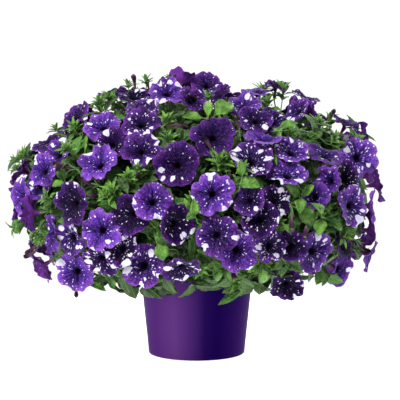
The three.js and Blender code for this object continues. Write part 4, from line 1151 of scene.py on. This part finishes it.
def grow_undergrowth(stems, blooms):
    """Side shoots that fill the mound behind its blooms at several depths, older the deeper they lie."""
    count, least, most = (UNDERGROWTH[key] for key in ("candidates", "least_inset", "most_inset"))
    points = golden_points(count, least + (most - least) * draw(np.arange(count), 3))
    away, z = np.hypot(points[:, 0], points[:, 1]), points[:, 2]
    shown = (z > UNDERGROWTH["low"]) | (away > UNDERGROWTH["beyond"])
    points = points[(z > UNDERGROWTH["lowest"]) & shown]
    chosen = []
    for at in points[np.argsort(draw(np.arange(len(points)), 4))]:
        if not chosen or np.linalg.norm(np.array(chosen) - at, axis=1).min() > UNDERGROWTH["apart"]:
            chosen.append(at)
    for i, at in enumerate(chosen):
        seed = SEEDS["undergrowth"] + i
        way = unit(outward_at(at) + 0.8 * (draw(seed, np.arange(11, 14)) - 0.5) + UP * 0.15)
        crossed, stem, stations = carrier_of(at, way, stems, blooms, 4)
        if crossed or hangs_low(at - UP * 8.0):
            continue
        depth = 1 - np.linalg.norm((at - MIDDLE) / HALF_SIZE)
        old, greens = float(np.clip(0.3 + 3.2 * depth, 0.4, 0.98)), stem["greens"]
        greens.rod(stations, *UNDERGROWTH["rod"], old, seed=seed)
        for joint, turn in UNDERGROWTH["joints"]:
            own, reach = seed + 0.1 * joint, UNDERGROWTH["leaf"]
            leaf_pair(greens, stations[joint], turn, reach, blooms, own, old - 0.15, old)
        frill(greens, at, way, stations[-1][2], *UNDERGROWTH["tip"], seed, max(0.1, old - 0.35))


def make_foliage(stems, blooms, green):
    """A piece for each stem: its crown, its shoots and tips, and all that grows on them."""
    for stem in stems:
        stem["greens"], stem["starts"] = Greens(), []
        stem["greens"].rod(straight("crown", stem["foot"], UP, sides_of(UP)), *RODS["crown"])
        for run in stem["runs"]:
            stations = stations_of(run["controls"], STATIONS["rod"])
            if not run["plan"]:
                stations = [s for s in stations if not hangs_low(s[0])]
            stem["greens"].rod(stations, run["radii"], STEM["sides"], STEM["age"], seed=run["seed"])
            stem["starts"] += [at for at, _, _ in stations[4 if run["plan"] else 2:]]
            solid_leaves(run, stem["greens"])
            grow_along(run, stem["greens"], blooms)
            at, way, _ = stations[-1]
            if not run["plan"] and way[2] > -0.1:
                star(stem["greens"], at, way, TUFT["star"], run["seed"])
    grow_undergrowth(stems, blooms)
    grow_shown_leaves(stems, blooms)
    grow_stars(stems, blooms)
    for stem in stems:
        stem["greens"].piece(f"foliage_{stem['name'][-2:]}", green, "leaf", [stem["name"]])


# ---------------------------------------------------------------- the sprays


def stalk_stations(hub, foot, way, seed):
    """A flower's stalk: from its hub, out along a slack curve, to the foot of its tube."""
    across = sides_of(unit(foot - hub), 360 * draw(seed, 31))[0]
    reach = np.linalg.norm(foot - hub)
    slack = hub + (foot - hub) * 0.4 + across * 0.08 * reach
    return stations_of([hub, slack, foot - way * 0.22 * reach, foot], STATIONS["stalk"])


def dress_bloom(hub, bloom, greens):
    """A bloom's stalk, calyx, cup, and style with its anthers."""
    foot, face, seed, radius = tube_foot(bloom), bloom["face"], bloom["seed"], bloom["radius"]
    greens.rod(stalk_stations(hub, foot - face, face, seed), *RODS["stalk"])
    sides = sides_of(face, 360 * draw(seed, 41))
    frill(greens, foot - face * 2.0, face, sides, *SEPALS, 0.5, seed + 0.5, 0.4)
    greens.rod(straight("cup", foot, face, sides), *RODS["cup"], "sepal")
    greens.rod(straight("style", bloom["at"], face * radius, sides), *RODS["style"], "stamen")


def dress_closed(hub, flower, greens):
    """The stalk and calyx of a bud or of a flower going over."""
    foot, way = flower["foot"], flower["way"]
    seed, age = flower["stalk"]
    greens.rod(stalk_stations(hub, foot, way, seed), (1.0, 0.9), 6, age)
    frill(greens, foot, way, sides_of(way), *SEPALS, *flower["calyx"])


def make_sprays(plans, petal, green):
    """Two pieces for each spray of the frame: its petals, and its stalks with calyces and stamens."""
    corners = Corners([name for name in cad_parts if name.startswith("bloom_spray")])
    groups = {}
    for plan in plans:
        rims = [ring_points(b["at"], sides_of(b["face"]), b["radius"], 10) for b in plan["blooms"]]
        groups.setdefault(corners.owner(np.concatenate(rims)), []).append(plan)
    for node, own in sorted(groups.items()):
        petals, greens = Skins(spot=3, flare=1, behind=1, look=3), Greens()
        rings, values = bloom_rings([bloom for plan in own for bloom in plan["blooms"] + plan["young"]])
        petals.add(rings, **values)
        for plan in own:
            for bloom in plan["blooms"] + plan["young"]:
                dress_bloom(plan["hub"], bloom, greens)
            for flower in plan["closed"]:
                rings, values = flower["shape"](flower)
                petals.add(rings, **values)
                dress_closed(plan["hub"], flower, greens)
            greens.rod(straight("knot", plan["hub"], plan["way"], sides_of(plan["way"])), *RODS["knot"])
        petals.piece(f"petals_{node[-2:]}", petal, "petal", [node])
        greens.piece(f"calyces_{node[-2:]}", green, "leaf", [node])


# ---------------------------------------------------------------- shader values and finishes


def operator(operation, turned_round=False):
    """A method that adds a maths node for its value and what it is given, or for the two turned round."""
    def apply(self, *others):
        """Adds the node, with the value and the others as its terms."""
        terms = (*others, self) if turned_round else (self, *others)
        return self.finish.node("Math", {"operation": operation}, dict(enumerate(terms)))
    return apply


class Value:
    """A number, colour or vector in a shader, on which the usual operators add their nodes."""

    def __init__(self, finish, socket):
        self.finish, self.socket = finish, socket

    __add__ = __radd__ = operator("ADD")
    __mul__ = __rmul__ = operator("MULTIPLY")
    __sub__, __rsub__ = operator("SUBTRACT"), operator("SUBTRACT", turned_round=True)
    __truediv__, __pow__ = operator("DIVIDE"), operator("POWER")
    __lt__, __gt__ = operator("LESS_THAN"), operator("GREATER_THAN")
    most, least, turn_from = operator("MAXIMUM"), operator("MINIMUM"), operator("ARCTAN2")
    abs, sin, cos = operator("ABSOLUTE"), operator("SINE"), operator("COSINE")
    root, fraction = operator("SQRT"), operator("FRACT")

    def step(self, low, high):
        """0 below `low`, 1 above `high`, smooth between; `low` over `high` turns it round."""
        if not isinstance(low, Value) and low > high:
            return 1.0 - self.step(high, low)
        sockets = {"Value": self, "From Min": low, "From Max": high}
        return self.finish.node("MapRange", {"interpolation_type": "SMOOTHSTEP"}, sockets)


class Finish:
    """A material being made. One method adds any node, and `done` closes it with its surface."""

    def __init__(self, name):
        self.material = bpy.data.materials.new(name)
        self.material.use_nodes = True
        self.tree = self.material.node_tree
        self.tree.nodes.clear()

    def node(self, kind, settings=None, sockets=None, output=0):
        """Adds a node: first its settings, then its sockets' values or links. Gives one of its outputs."""
        node = self.tree.nodes.new("ShaderNode" + kind)
        for name, setting in (settings or {}).items():
            setattr(node, name, setting)
        for name, value in (sockets or {}).items():
            if isinstance(value, Value):
                self.tree.links.new(value.socket, node.inputs[name])
            else:
                node.inputs[name].default_value = value
        return Value(self, node.outputs[output])

    def attribute(self, name, output="Fac"):
        """A value that the points of the mesh carry."""
        return self.node("Attribute", {"attribute_type": "GEOMETRY", "attribute_name": name}, output=output)

    def place(self):
        """The place on the object, in metres."""
        return self.node("TexCoord", output="Object")

    def parts(self, vector):
        """The three parts of a vector or colour."""
        first = self.node("SeparateXYZ", None, {0: vector})
        return tuple(Value(self, socket) for socket in first.socket.node.outputs)

    def vector(self, x, y, z):
        """A vector of three parts."""
        return self.node("CombineXYZ", None, {0: x, 1: y, 2: z})

    def noise(self, vector, scale, detail=2.0, roughness=0.5):
        """Cloudy noise about 0.5."""
        sockets = {"Vector": vector, "Scale": scale, "Detail": detail, "Roughness": roughness}
        return self.node("TexNoise", None, sockets)

    def cells(self, vector, scale=1.0):
        """How far a place is from the middle of its cell, and a colour drawn for the cell."""
        distance = self.node("TexVoronoi", None, {"Vector": vector, "Scale": scale}, "Distance")
        return distance, Value(self, distance.socket.node.outputs["Color"])

    def ramp(self, share, *stops):
        """A colour by a share, between stops that are a position and a colour's screen values."""
        colour = self.node("ValToRGB", None, {0: share})
        elements = colour.socket.node.color_ramp.elements
        while len(elements) < len(stops):
            elements.new(0.5)
        for element, (position, *screen) in zip(elements, stops):
            element.position, element.color = position, srgb(*screen)
        return colour

    def mix(self, share, first, second):
        """One colour turned into another by a share. A plain one is given by its screen values."""
        first, second = (srgb(*c) if isinstance(c, tuple) else c for c in (first, second))
        settings = {"data_type": "RGBA", "clamp_factor": True}
        return self.node("Mix", settings, {0: share, 6: first, 7: second}, output=2)

    def layers(self, colour, *layers):
        """A colour with others laid over it in turn, each by its own share."""
        for share, over in layers:
            colour = self.mix(share, colour, over)
        return colour

    def bump(self, height, distance, strength):
        """The normal of a surface raised by a height."""
        return self.node("Bump", None, {"Strength": strength, "Distance": distance, "Height": height})

    def done(self, **sockets):
        """Closes the material with a Principled surface, its sockets named with _ for a space."""
        named = {name.replace("_", " "): value for name, value in sockets.items()}
        surface = self.node("BsdfPrincipled", None, named)
        self.tree.links.new(surface.socket, self.tree.nodes.new("ShaderNodeOutputMaterial").inputs[0])
        return self.material


def petal_finish():
    """Velvety petals: a dark throat and violet lobes with dark veins, white dots and white blotches, painted
    shade over some lobes, and a paler rim that is partly painted highlight.

    The look's three shares tell how light a bloom is, how red, and how much white it carries. A low lightness
    is partly a dark colour and partly painted shade, for blooms that lie in shadow.
    """
    f = Finish("speckled_petal")
    x, y, seed = f.parts(f.attribute("spot", "Vector"))
    light, red, white = f.parts(f.attribute("look", "Vector"))
    flare, behind = f.attribute("flare"), f.attribute("behind")
    reach = (x * x + y * y).root().most(0.01)
    across, down = x / reach, y / reach
    lobe = (y.turn_from(x) * 5.0).cos()
    share = flare.most(0.0).least(1.0)

    def rayed(fine, own, along):
        """Places of a pattern that runs out from the throat, fine round it and slow along it."""
        return f.vector(across * fine, down * fine, seed * own + share * along)

    veins = f.noise(rayed(9.0, 3.7, 0.8), 1.0, 3.0, 0.6).step(0.46, 0.66)
    fine = f.noise(rayed(26.0, 5.1, 1.5), 1.0, 1.0).step(0.45, 0.7)
    # Broad noise that darkens some lobes of each bloom: painted shade, as if those lobes turned from the
    # light.
    side = f.noise(rayed(1.5, 2.3, 0.6), 1.0, 1.0)
    plane = f.vector(x + seed * 31.0, y + seed * 17.0, 0.0)
    cloud = f.noise(plane, 0.09, 2.0) - 0.5
    where = share + cloud * 0.4
    mottle = f.noise(plane, 0.33, 3.0, 0.55)
    # From the throat to the rim, for a bluish and for a reddish bloom. The palest stop at the very rim is
    # partly the petal's own paler edge and partly a painted highlight along it.
    blue = f.ramp(
        where, (0.0, 42, 16, 92), (0.16, 64, 30, 136), (0.52, 99, 50, 178), (0.86, 134, 77, 198),
        (1.0, 158, 102, 208),
    )
    wine = f.ramp(
        where, (0.0, 26, 7, 50), (0.2, 49, 16, 93), (0.58, 97, 38, 147), (0.88, 130, 60, 172),
        (1.0, 156, 84, 192),
    )
    # A low lightness darkens a bloom to near black from the throat nearly to the rim: partly the bloom's own
    # colour, partly painted shade for blooms that lie in shadow.
    shade = (1.0 - light).step(0.2, 0.86) * (1.0 - share.step(0.9, 1.0) * 0.3)
    rays = ((lobe + 1.0) * 0.5) ** 22.0 * share.step(0.98, 0.3)
    face = f.layers(
        f.mix((red + cloud * 0.6).step(0.1, 0.9), blue, wine),
        (shade, f.mix((share + cloud * 0.8).step(0.5, 1.04), (8, 1, 16), (74, 27, 112))),
        (mottle.step(0.52, 0.3) * 0.65, (20, 4, 46)),
        (mottle.step(0.5, 0.68) * 0.42 * (light * 1.1 + 0.08), (158, 106, 204)),
        # painted shade over some lobes
        (side.step(0.52, 0.34) * 0.55, (20, 5, 52)),
        (veins * 0.95 * (1.2 - share), (16, 4, 40)),
        (fine * 0.46, (20, 7, 50)),
        (rays * 0.75, (12, 4, 28)),
        (share.step(0.1, 0.0) * 0.85, (20, 5, 26)),
    )
    # The back is redder with darker veins, and the tube brown and rose. Buds and flowers going over
    # carry flares under -0.9 and -2.5, which give them their own colours here.
    closed = flare < -0.9
    back = f.layers(
        f.mix(veins * 0.7, (124, 60, 166), (76, 32, 116)),
        # backs of blooms with a low lightness are darker: partly their own colour, partly painted shade
        (light.step(0.35, 0.0) * 0.7, (38, 14, 58)),
        (share.step(0.4, 0.0) * 0.8, (88, 40, 96)),
        (flare.step(-0.1, -0.55), f.mix(veins, (152, 120, 130), (50, 27, 44))),
        (flare.step(-1.66, -1.2) * closed, f.mix(veins, (70, 42, 70), (20, 8, 26))),
        (flare.step(-1.08, -1.01) * closed * 0.6, (150, 140, 92)),
        (flare.step(-2.5, -3.0), f.mix(veins, (88, 64, 76), (24, 12, 26))),
        (flare.step(-3.9, -4.4), (24, 15, 22)),
    )
    # Dots, specks and blotches lie in cells that are stretched along the veins.
    dots, draws = f.cells(rayed(8.0, 7.3, 7.0))
    dots = dots + (f.noise(plane, 1.3, 2.0) - 0.5) * 0.2
    size = ((f.parts(draws)[0] - (0.94 - 0.3 * white)).most(0.0) * 2.2).least(0.46)
    dots = (1.0 - dots.step(size - 0.09, size + 0.07)) * (size > 0.05)
    specks, draws = f.cells(rayed(19.0, 9.1, 17.0))
    specks = (1.0 - specks.step(0.2, 0.42)) * (f.parts(draws)[1] > (0.92 - 0.36 * white))
    blots, draws = f.cells(rayed(2.3, 5.7, 1.7))
    blots = blots + (f.noise(plane, 0.3, 3.0) - 0.5) * 0.4
    size = ((f.parts(draws)[1] - (1.0 - 0.52 * white)).most(0.0) * 2.7).least(0.56) * share.step(0.3, 0.6)
    blots = (1.0 - blots.step(size - 0.03, size + 0.03)) * (size > 0.08)
    outer = share.step(0.08, 0.25) * (1.0 - behind * 0.7)
    colour = f.layers(
        f.mix(behind, face, back),
        ((1.0 - behind) * flare.step(0.02, -0.1), (14, 4, 16)),
        (specks * outer * (light * 0.4 + 0.2), (160, 124, 210)),
        (dots * outer, (222, 212, 240)),
        (blots * outer, f.mix(veins * 0.4, (226, 223, 240), (180, 166, 216))),
    )
    height = veins * -0.6 + fine * -0.25 + f.noise(plane, 2.6, 2.0) * 0.25 + f.noise(plane, 0.24, 2.0) * 2.6
    normal = f.bump(height, 0.0006, 0.6)
    return f.done(Base_Color=colour, Roughness=0.55, Normal=normal, Specular_IOR_Level=0.05)


def leaf_finish():
    """Soft hairy leaves: a pale rib and slanting veins, younger ones brighter, old ones dull, with patches of
    painted highlight and painted shade, and painted shade near the base.
    """
    f = Finish("petunia_leaf")
    x, y, seed = f.parts(f.attribute("blade", "Vector"))
    age, kind, beneath = (f.attribute(name) for name in ("age", "kind", "beneath"))
    leaf = kind < 0.5
    shade = f.noise(f.vector(x * 0.06, y * 0.06, seed * 1.9), 1.0, 2.0)
    # Patches of painted highlight on the younger leaves, and of painted shade on all leaves.
    painted_highlight_and_shade = f.noise(f.vector(x * 0.13, y * 0.08, seed * 2.7), 1.0, 2.0)
    rib = x.abs().step(0.75, 0.25)
    slant = ((y - x.abs() * 0.85) * (2 * math.pi / 5.2)).sin()
    veins = rib.most(slant.step(0.86, 0.99) * 0.45) * leaf
    green = f.layers(
        f.ramp(
            age + (shade - 0.5) * 0.5, (0.0, 120, 166, 72), (0.3, 90, 138, 54), (0.6, 62, 108, 42),
            (0.8, 74, 98, 60), (1.0, 40, 60, 30),
        ),
        (painted_highlight_and_shade.step(0.52, 0.36) * leaf * 0.6, (36, 76, 26)),
        (painted_highlight_and_shade.step(0.5, 0.66) * leaf * age.step(0.8, 0.2) * 0.55, (138, 192, 72)),
        (veins * 0.4, (132, 178, 88)),
        # darker within 12 mm of the base: painted shade where the blade meets its stalk
        (y.step(12.0, 0.0) * leaf * 0.4, (44, 88, 32)),
        (beneath * 0.55, (122, 156, 104)),
        (kind.step(0.4, 0.6), f.mix(kind.step(1.4, 1.6), (112, 148, 72), (70, 128, 52))),
        (kind.step(2.4, 2.6), (92, 62, 44)),
    )
    height = slant * 0.5 * leaf - rib * 1.2 * leaf + f.noise(f.vector(x, y, seed), 1.6, 2.0) * 0.5
    return f.done(
        Base_Color=green, Roughness=0.5, Normal=f.bump(height, 0.0007, 0.6), Sheen_Weight=0.05,
        Sheen_Roughness=0.4, Specular_IOR_Level=0.22,
    )


def plastic_finish():
    """Satin moulded plastic: violet, with bands of painted highlight and painted shade round it, a fine grain
    and faint scuffs round the foot and the lip.
    """
    f = Finish("violet_plastic")
    place = f.place()
    x, y, z = f.parts(place)
    cloud = f.noise(place, 9.0, 3.0)
    # The colour runs round the pot twice: violet, a paler band that is a painted highlight, a deep indigo
    # band that is painted shade, violet.
    turn = (x.turn_from(y * -1.0) / math.pi + 0.5 + (cloud - 0.5) * 0.01).fraction()
    colour = f.ramp(
        turn, (0.0, 60, 18, 92), (0.22, 72, 32, 103), (0.36, 86, 48, 114), (0.44, 72, 36, 105),
        (0.55, 30, 6, 74), (0.63, 22, 0, 68), (0.72, 30, 5, 74), (0.88, 48, 12, 86), (1.0, 60, 18, 92),
    )
    scuff = f.noise(f.vector(x * 60.0, y * 60.0, z * 700.0), 1.0, 3.0, 0.7).step(0.62, 0.75)
    ends = z.step(0.012, 0.0).most(z.step(0.132, 0.1405))
    colour = f.mix(scuff * ends * 0.25, colour, (118, 86, 156))
    grain = f.noise(place, 900.0, 2.0)
    rough, normal = 0.4 + 0.12 * grain + 0.15 * scuff * ends, f.bump(grain, 0.0001, 0.3)
    return f.done(Base_Color=colour, Roughness=rough, Normal=normal, Specular_IOR_Level=0.01)


def mix_finish():
    """Potting mix: brown peat with bark crumbs and pale specks, darker where its bump sinks: painted shade in
    the hollows.
    """
    f = Finish("peat_and_bark")
    place = f.place()
    crumb, cloud = f.cells(place, 260.0)[0], f.noise(place, 60.0, 4.0, 0.7)
    # colour and bump follow one field, so the low places are darker: painted shade in the hollows
    colour = f.ramp(
        cloud + (crumb - 0.4) * 0.4, (0.0, 24, 16, 11), (0.5, 56, 38, 26), (0.8, 92, 66, 44),
        (1.0, 120, 94, 68),
    )
    pale = f.parts(f.cells(place, 150.0)[1])[0]
    colour = f.mix((pale > 0.955) * crumb.step(0.55, 0.4), colour, (216, 208, 194))
    return f.done(Base_Color=colour, Roughness=0.93, Normal=f.bump(cloud + crumb, 0.0016, 0.9))


def paper_finish():
    """Matt white studio floor."""
    f = Finish("studio_floor")
    tone = f.mix(f.noise(f.place(), 1.4, 2.0), (244, 244, 245), (247, 247, 248))
    return f.done(Base_Color=tone, Roughness=0.9, Emission_Color=(1.0, 1.0, 1.0, 1.0), Emission_Strength=0.86)


# ---------------------------------------------------------------- the pot and its filling


def pot_radius(z):
    """The radius of the pot's outside at a height: foot radius + taper z."""
    return POT["foot_radius"] + POT["taper"] * z


def softened(points, size, steps=4):
    """A profile with its corners rounded: each turned into a quadratic curve between its edges."""
    points = np.array(points, dtype=float)
    soft = [points[0]]
    for before, corner, after in zip(points, points[1:], points[2:]):
        edges = (before - corner, after - corner)
        enter, leave = (corner + unit(edge) * min(size, np.linalg.norm(edge) * 0.4) for edge in edges)
        for t in np.linspace(0, 1, steps):
            soft.append((1 - t) ** 2 * enter + 2 * t * (1 - t) * corner + t * t * leave)
    return [*soft, points[-1]]


def drilled(pot, pegs):
    """The pot with its drain holes cut: a Boolean of the pegs, applied to the mesh."""
    cut = pot.modifiers.new("drain holes", "BOOLEAN")
    cut.operation, cut.solver, cut.object = "DIFFERENCE", "EXACT", pegs
    solid = bpy.data.meshes.new_from_object(pot.evaluated_get(bpy.context.evaluated_depsgraph_get()))
    pot.modifiers.clear()
    pot.data = solid
    bpy.data.objects.remove(pegs)


def make_pot(material):
    """A tapered pot turned from its profile, with a band round the lip, a foot ring and drain holes."""
    height, floor, wall, step = (POT[key] for key in ("height", "floor_top", "wall", "lip_step"))
    centre, pad, recess = (POT[key] for key in ("centre", "pad_radius", "recess"))
    inner_foot, lip_low = POT["foot_radius"] - POT["foot_width"], height - POT["lip_height"]
    profile = [
        (centre, 0.0), (pad, 0.0), (pad + recess, recess), (inner_foot - recess, recess), (inner_foot, 0.0),
        (POT["foot_radius"], 0.0), (pot_radius(lip_low), lip_low),
        (pot_radius(lip_low) + step, lip_low + POT["lip_slope"]), (pot_radius(height) + step, height),
        (pot_radius(height) - wall, height), (pot_radius(floor) - wall, floor), (centre, floor),
    ]
    shell, pegs = Skins(), Skins()
    shell.add(turned(softened(profile, POT["corner"]), POT["sides"]))
    for k in range(DRAIN["count"]):
        middle = about(np.eye(3), (k + 0.5) / DRAIN["count"] * 2 * math.pi) * DRAIN["circle"]
        peg = [(DRAIN["radius"], -DRAIN["past"]), (DRAIN["radius"], floor + DRAIN["past"])]
        pegs.add(turned(peg, DRAIN["sides"]) + middle)
    body = shell.mesh("pot_shell")
    drilled(body, pegs.mesh("drain_pegs"))
    body.data.set_sharp_from_angle(angle=math.radians(POT["sharp_from"]))
    settled(body, material, ["pot"])


def make_mix(material):
    """The potting mix: a turned heap whose top lies 1 mm under SOIL_TOP, with lumps of three sizes."""
    low, high = POT["floor_top"] + GAP, SOIL_TOP - MIX["shoulder"]
    wide = [pot_radius(z) - POT["wall"] - MIX["slack"] for z in (low, low + 1, high, SOIL_TOP)]
    profile = [(MIX["foot"], low), (wide[0] - 1, low), (wide[1], low + 1), (wide[2], high)]
    profile += [(r, SOIL_TOP - 1.0) for r in np.linspace(wide[3] - 0.5, 2, MIX["rows"])]
    rings = turned(profile, MIX["sides"])
    top = rings[:, 5:]
    x, y = top[..., 0], top[..., 1]
    coarse = 1.6 * np.sin(x / 9 + 1) * np.cos(y / 7)
    middling = 0.9 * np.sin(x / 3.1 + y / 4.3) * np.cos(y / 2.7 - x / 5)
    top[..., 2] += coarse + middling + 0.5 * np.sin(x * 1.3 + y * 0.4) * np.cos(y * 1.1 - x * 0.7)
    skins = Skins()
    skins.add(rings)
    skins.piece("potting_mix_heap", material, "potting_mix", ["potting_mix"])


# ---------------------------------------------------------------- the studio

# Lamps: name, place, the height that they are aimed at, size and power.
LAMPS = (
    ("key", (-1.0, -2.3, 2.6), 0.25, 0.9, 108), ("strip", (-1.5, -1.7, 0.45), 0.1, 0.7, 14),
    ("right", (2.4, 0.5, 0.9), 0.15, 1.1, 38), ("left", (-2.5, 0.5, 1.0), 0.15, 1.1, 22),
    ("back", (0.6, 2.4, 2.4), 0.25, 1.4, 52),
)
# The white surroundings' colour and strength: as light, and as the camera sees them.
SKY = (((0.96, 0.97, 1.0, 1), 0.27), ((1, 1, 1, 1), 1.05))
FLOOR = {"reach": 0.6, "sides": 96}


def set_up(name, data, place, way):
    """A lamp or camera at a place, turned to look along a way."""
    body = bpy.data.objects.new(name, data)
    body.location = place
    body.rotation_euler = way.to_track_quat("-Z", "Y").to_euler()
    bpy.context.scene.collection.objects.link(body)
    return body


def make_floor(material):
    """A white disc that the pot stands on."""
    mesh = bpy.data.meshes.new("studio_floor")
    rim = turned([(FLOOR["reach"], 0.0)], FLOOR["sides"])[0, 0]
    mesh.from_pydata(rim.tolist(), [], [tuple(range(FLOOR["sides"]))])
    mesh.materials.append(material)
    floor = bpy.data.objects.new("studio_floor", mesh)
    bpy.context.scene.collection.objects.link(floor)


def make_studio():
    """White surroundings, a large soft lamp above the viewer and four weaker ones round the plant."""
    world = bpy.data.worlds.new("studio")
    world.use_nodes = True
    nodes, links = world.node_tree.nodes, world.node_tree.links
    nodes.clear()
    kinds = ("LightPath", "Background", "Background", "MixShader", "OutputWorld")
    path, lit, shown, choice, out = (nodes.new("ShaderNode" + kind) for kind in kinds)
    for node, (colour, strength) in zip((lit, shown), SKY):
        node.inputs[0].default_value, node.inputs[1].default_value = colour, strength
    links.new(path.outputs["Is Camera Ray"], choice.inputs[0])
    links.new(lit.outputs[0], choice.inputs[1])
    links.new(shown.outputs[0], choice.inputs[2])
    links.new(choice.outputs[0], out.inputs[0])
    bpy.context.scene.world = world
    for name, place, aim, size, power in LAMPS:
        lamp = bpy.data.lights.new(name, "AREA")
        lamp.shape, lamp.size, lamp.energy = "DISK", size, power
        set_up(name, lamp, place, Vector((0, 0, aim)) - Vector(place))


def make_camera():
    """The camera at the eye, with the frame's width at the distance of its aim."""
    camera = bpy.data.cameras.new("camera")
    camera.sensor_width = SENSOR
    camera.lens = SENSOR * float(np.linalg.norm(AIM - EYE)) / (PICTURE * MM_PER_PIXEL)
    camera.clip_end = CLIP_END
    bpy.context.scene.camera = set_up("camera", camera, EYE * MM, Vector(AIM - EYE))


# ---------------------------------------------------------------- everything together

make_camera()
make_studio()
BLOOMS = placed_blooms()
PLANS = spray_plans(BLOOMS, placed_buds(BLOOMS))
STEMS = grown_stems(PLANS, BLOOMS)
YOUNG_BLOOMS = young_blooms(BLOOMS, STEMS)
for late in YOUNG_BLOOMS:
    nearest_plan(PLANS, tube_foot(late))["young"].append(late)
for going_over in spent_flowers():
    nearest_plan(PLANS, going_over["foot"])["closed"].append(going_over)
PETAL, GREENERY = petal_finish(), leaf_finish()
make_sprays(PLANS, PETAL, GREENERY)
make_foliage(STEMS, BLOOMS + YOUNG_BLOOMS, GREENERY)
make_pot(plastic_finish())
make_mix(mix_finish())
make_floor(paper_finish())
bpy.context.scene.view_settings.view_transform = "Standard"
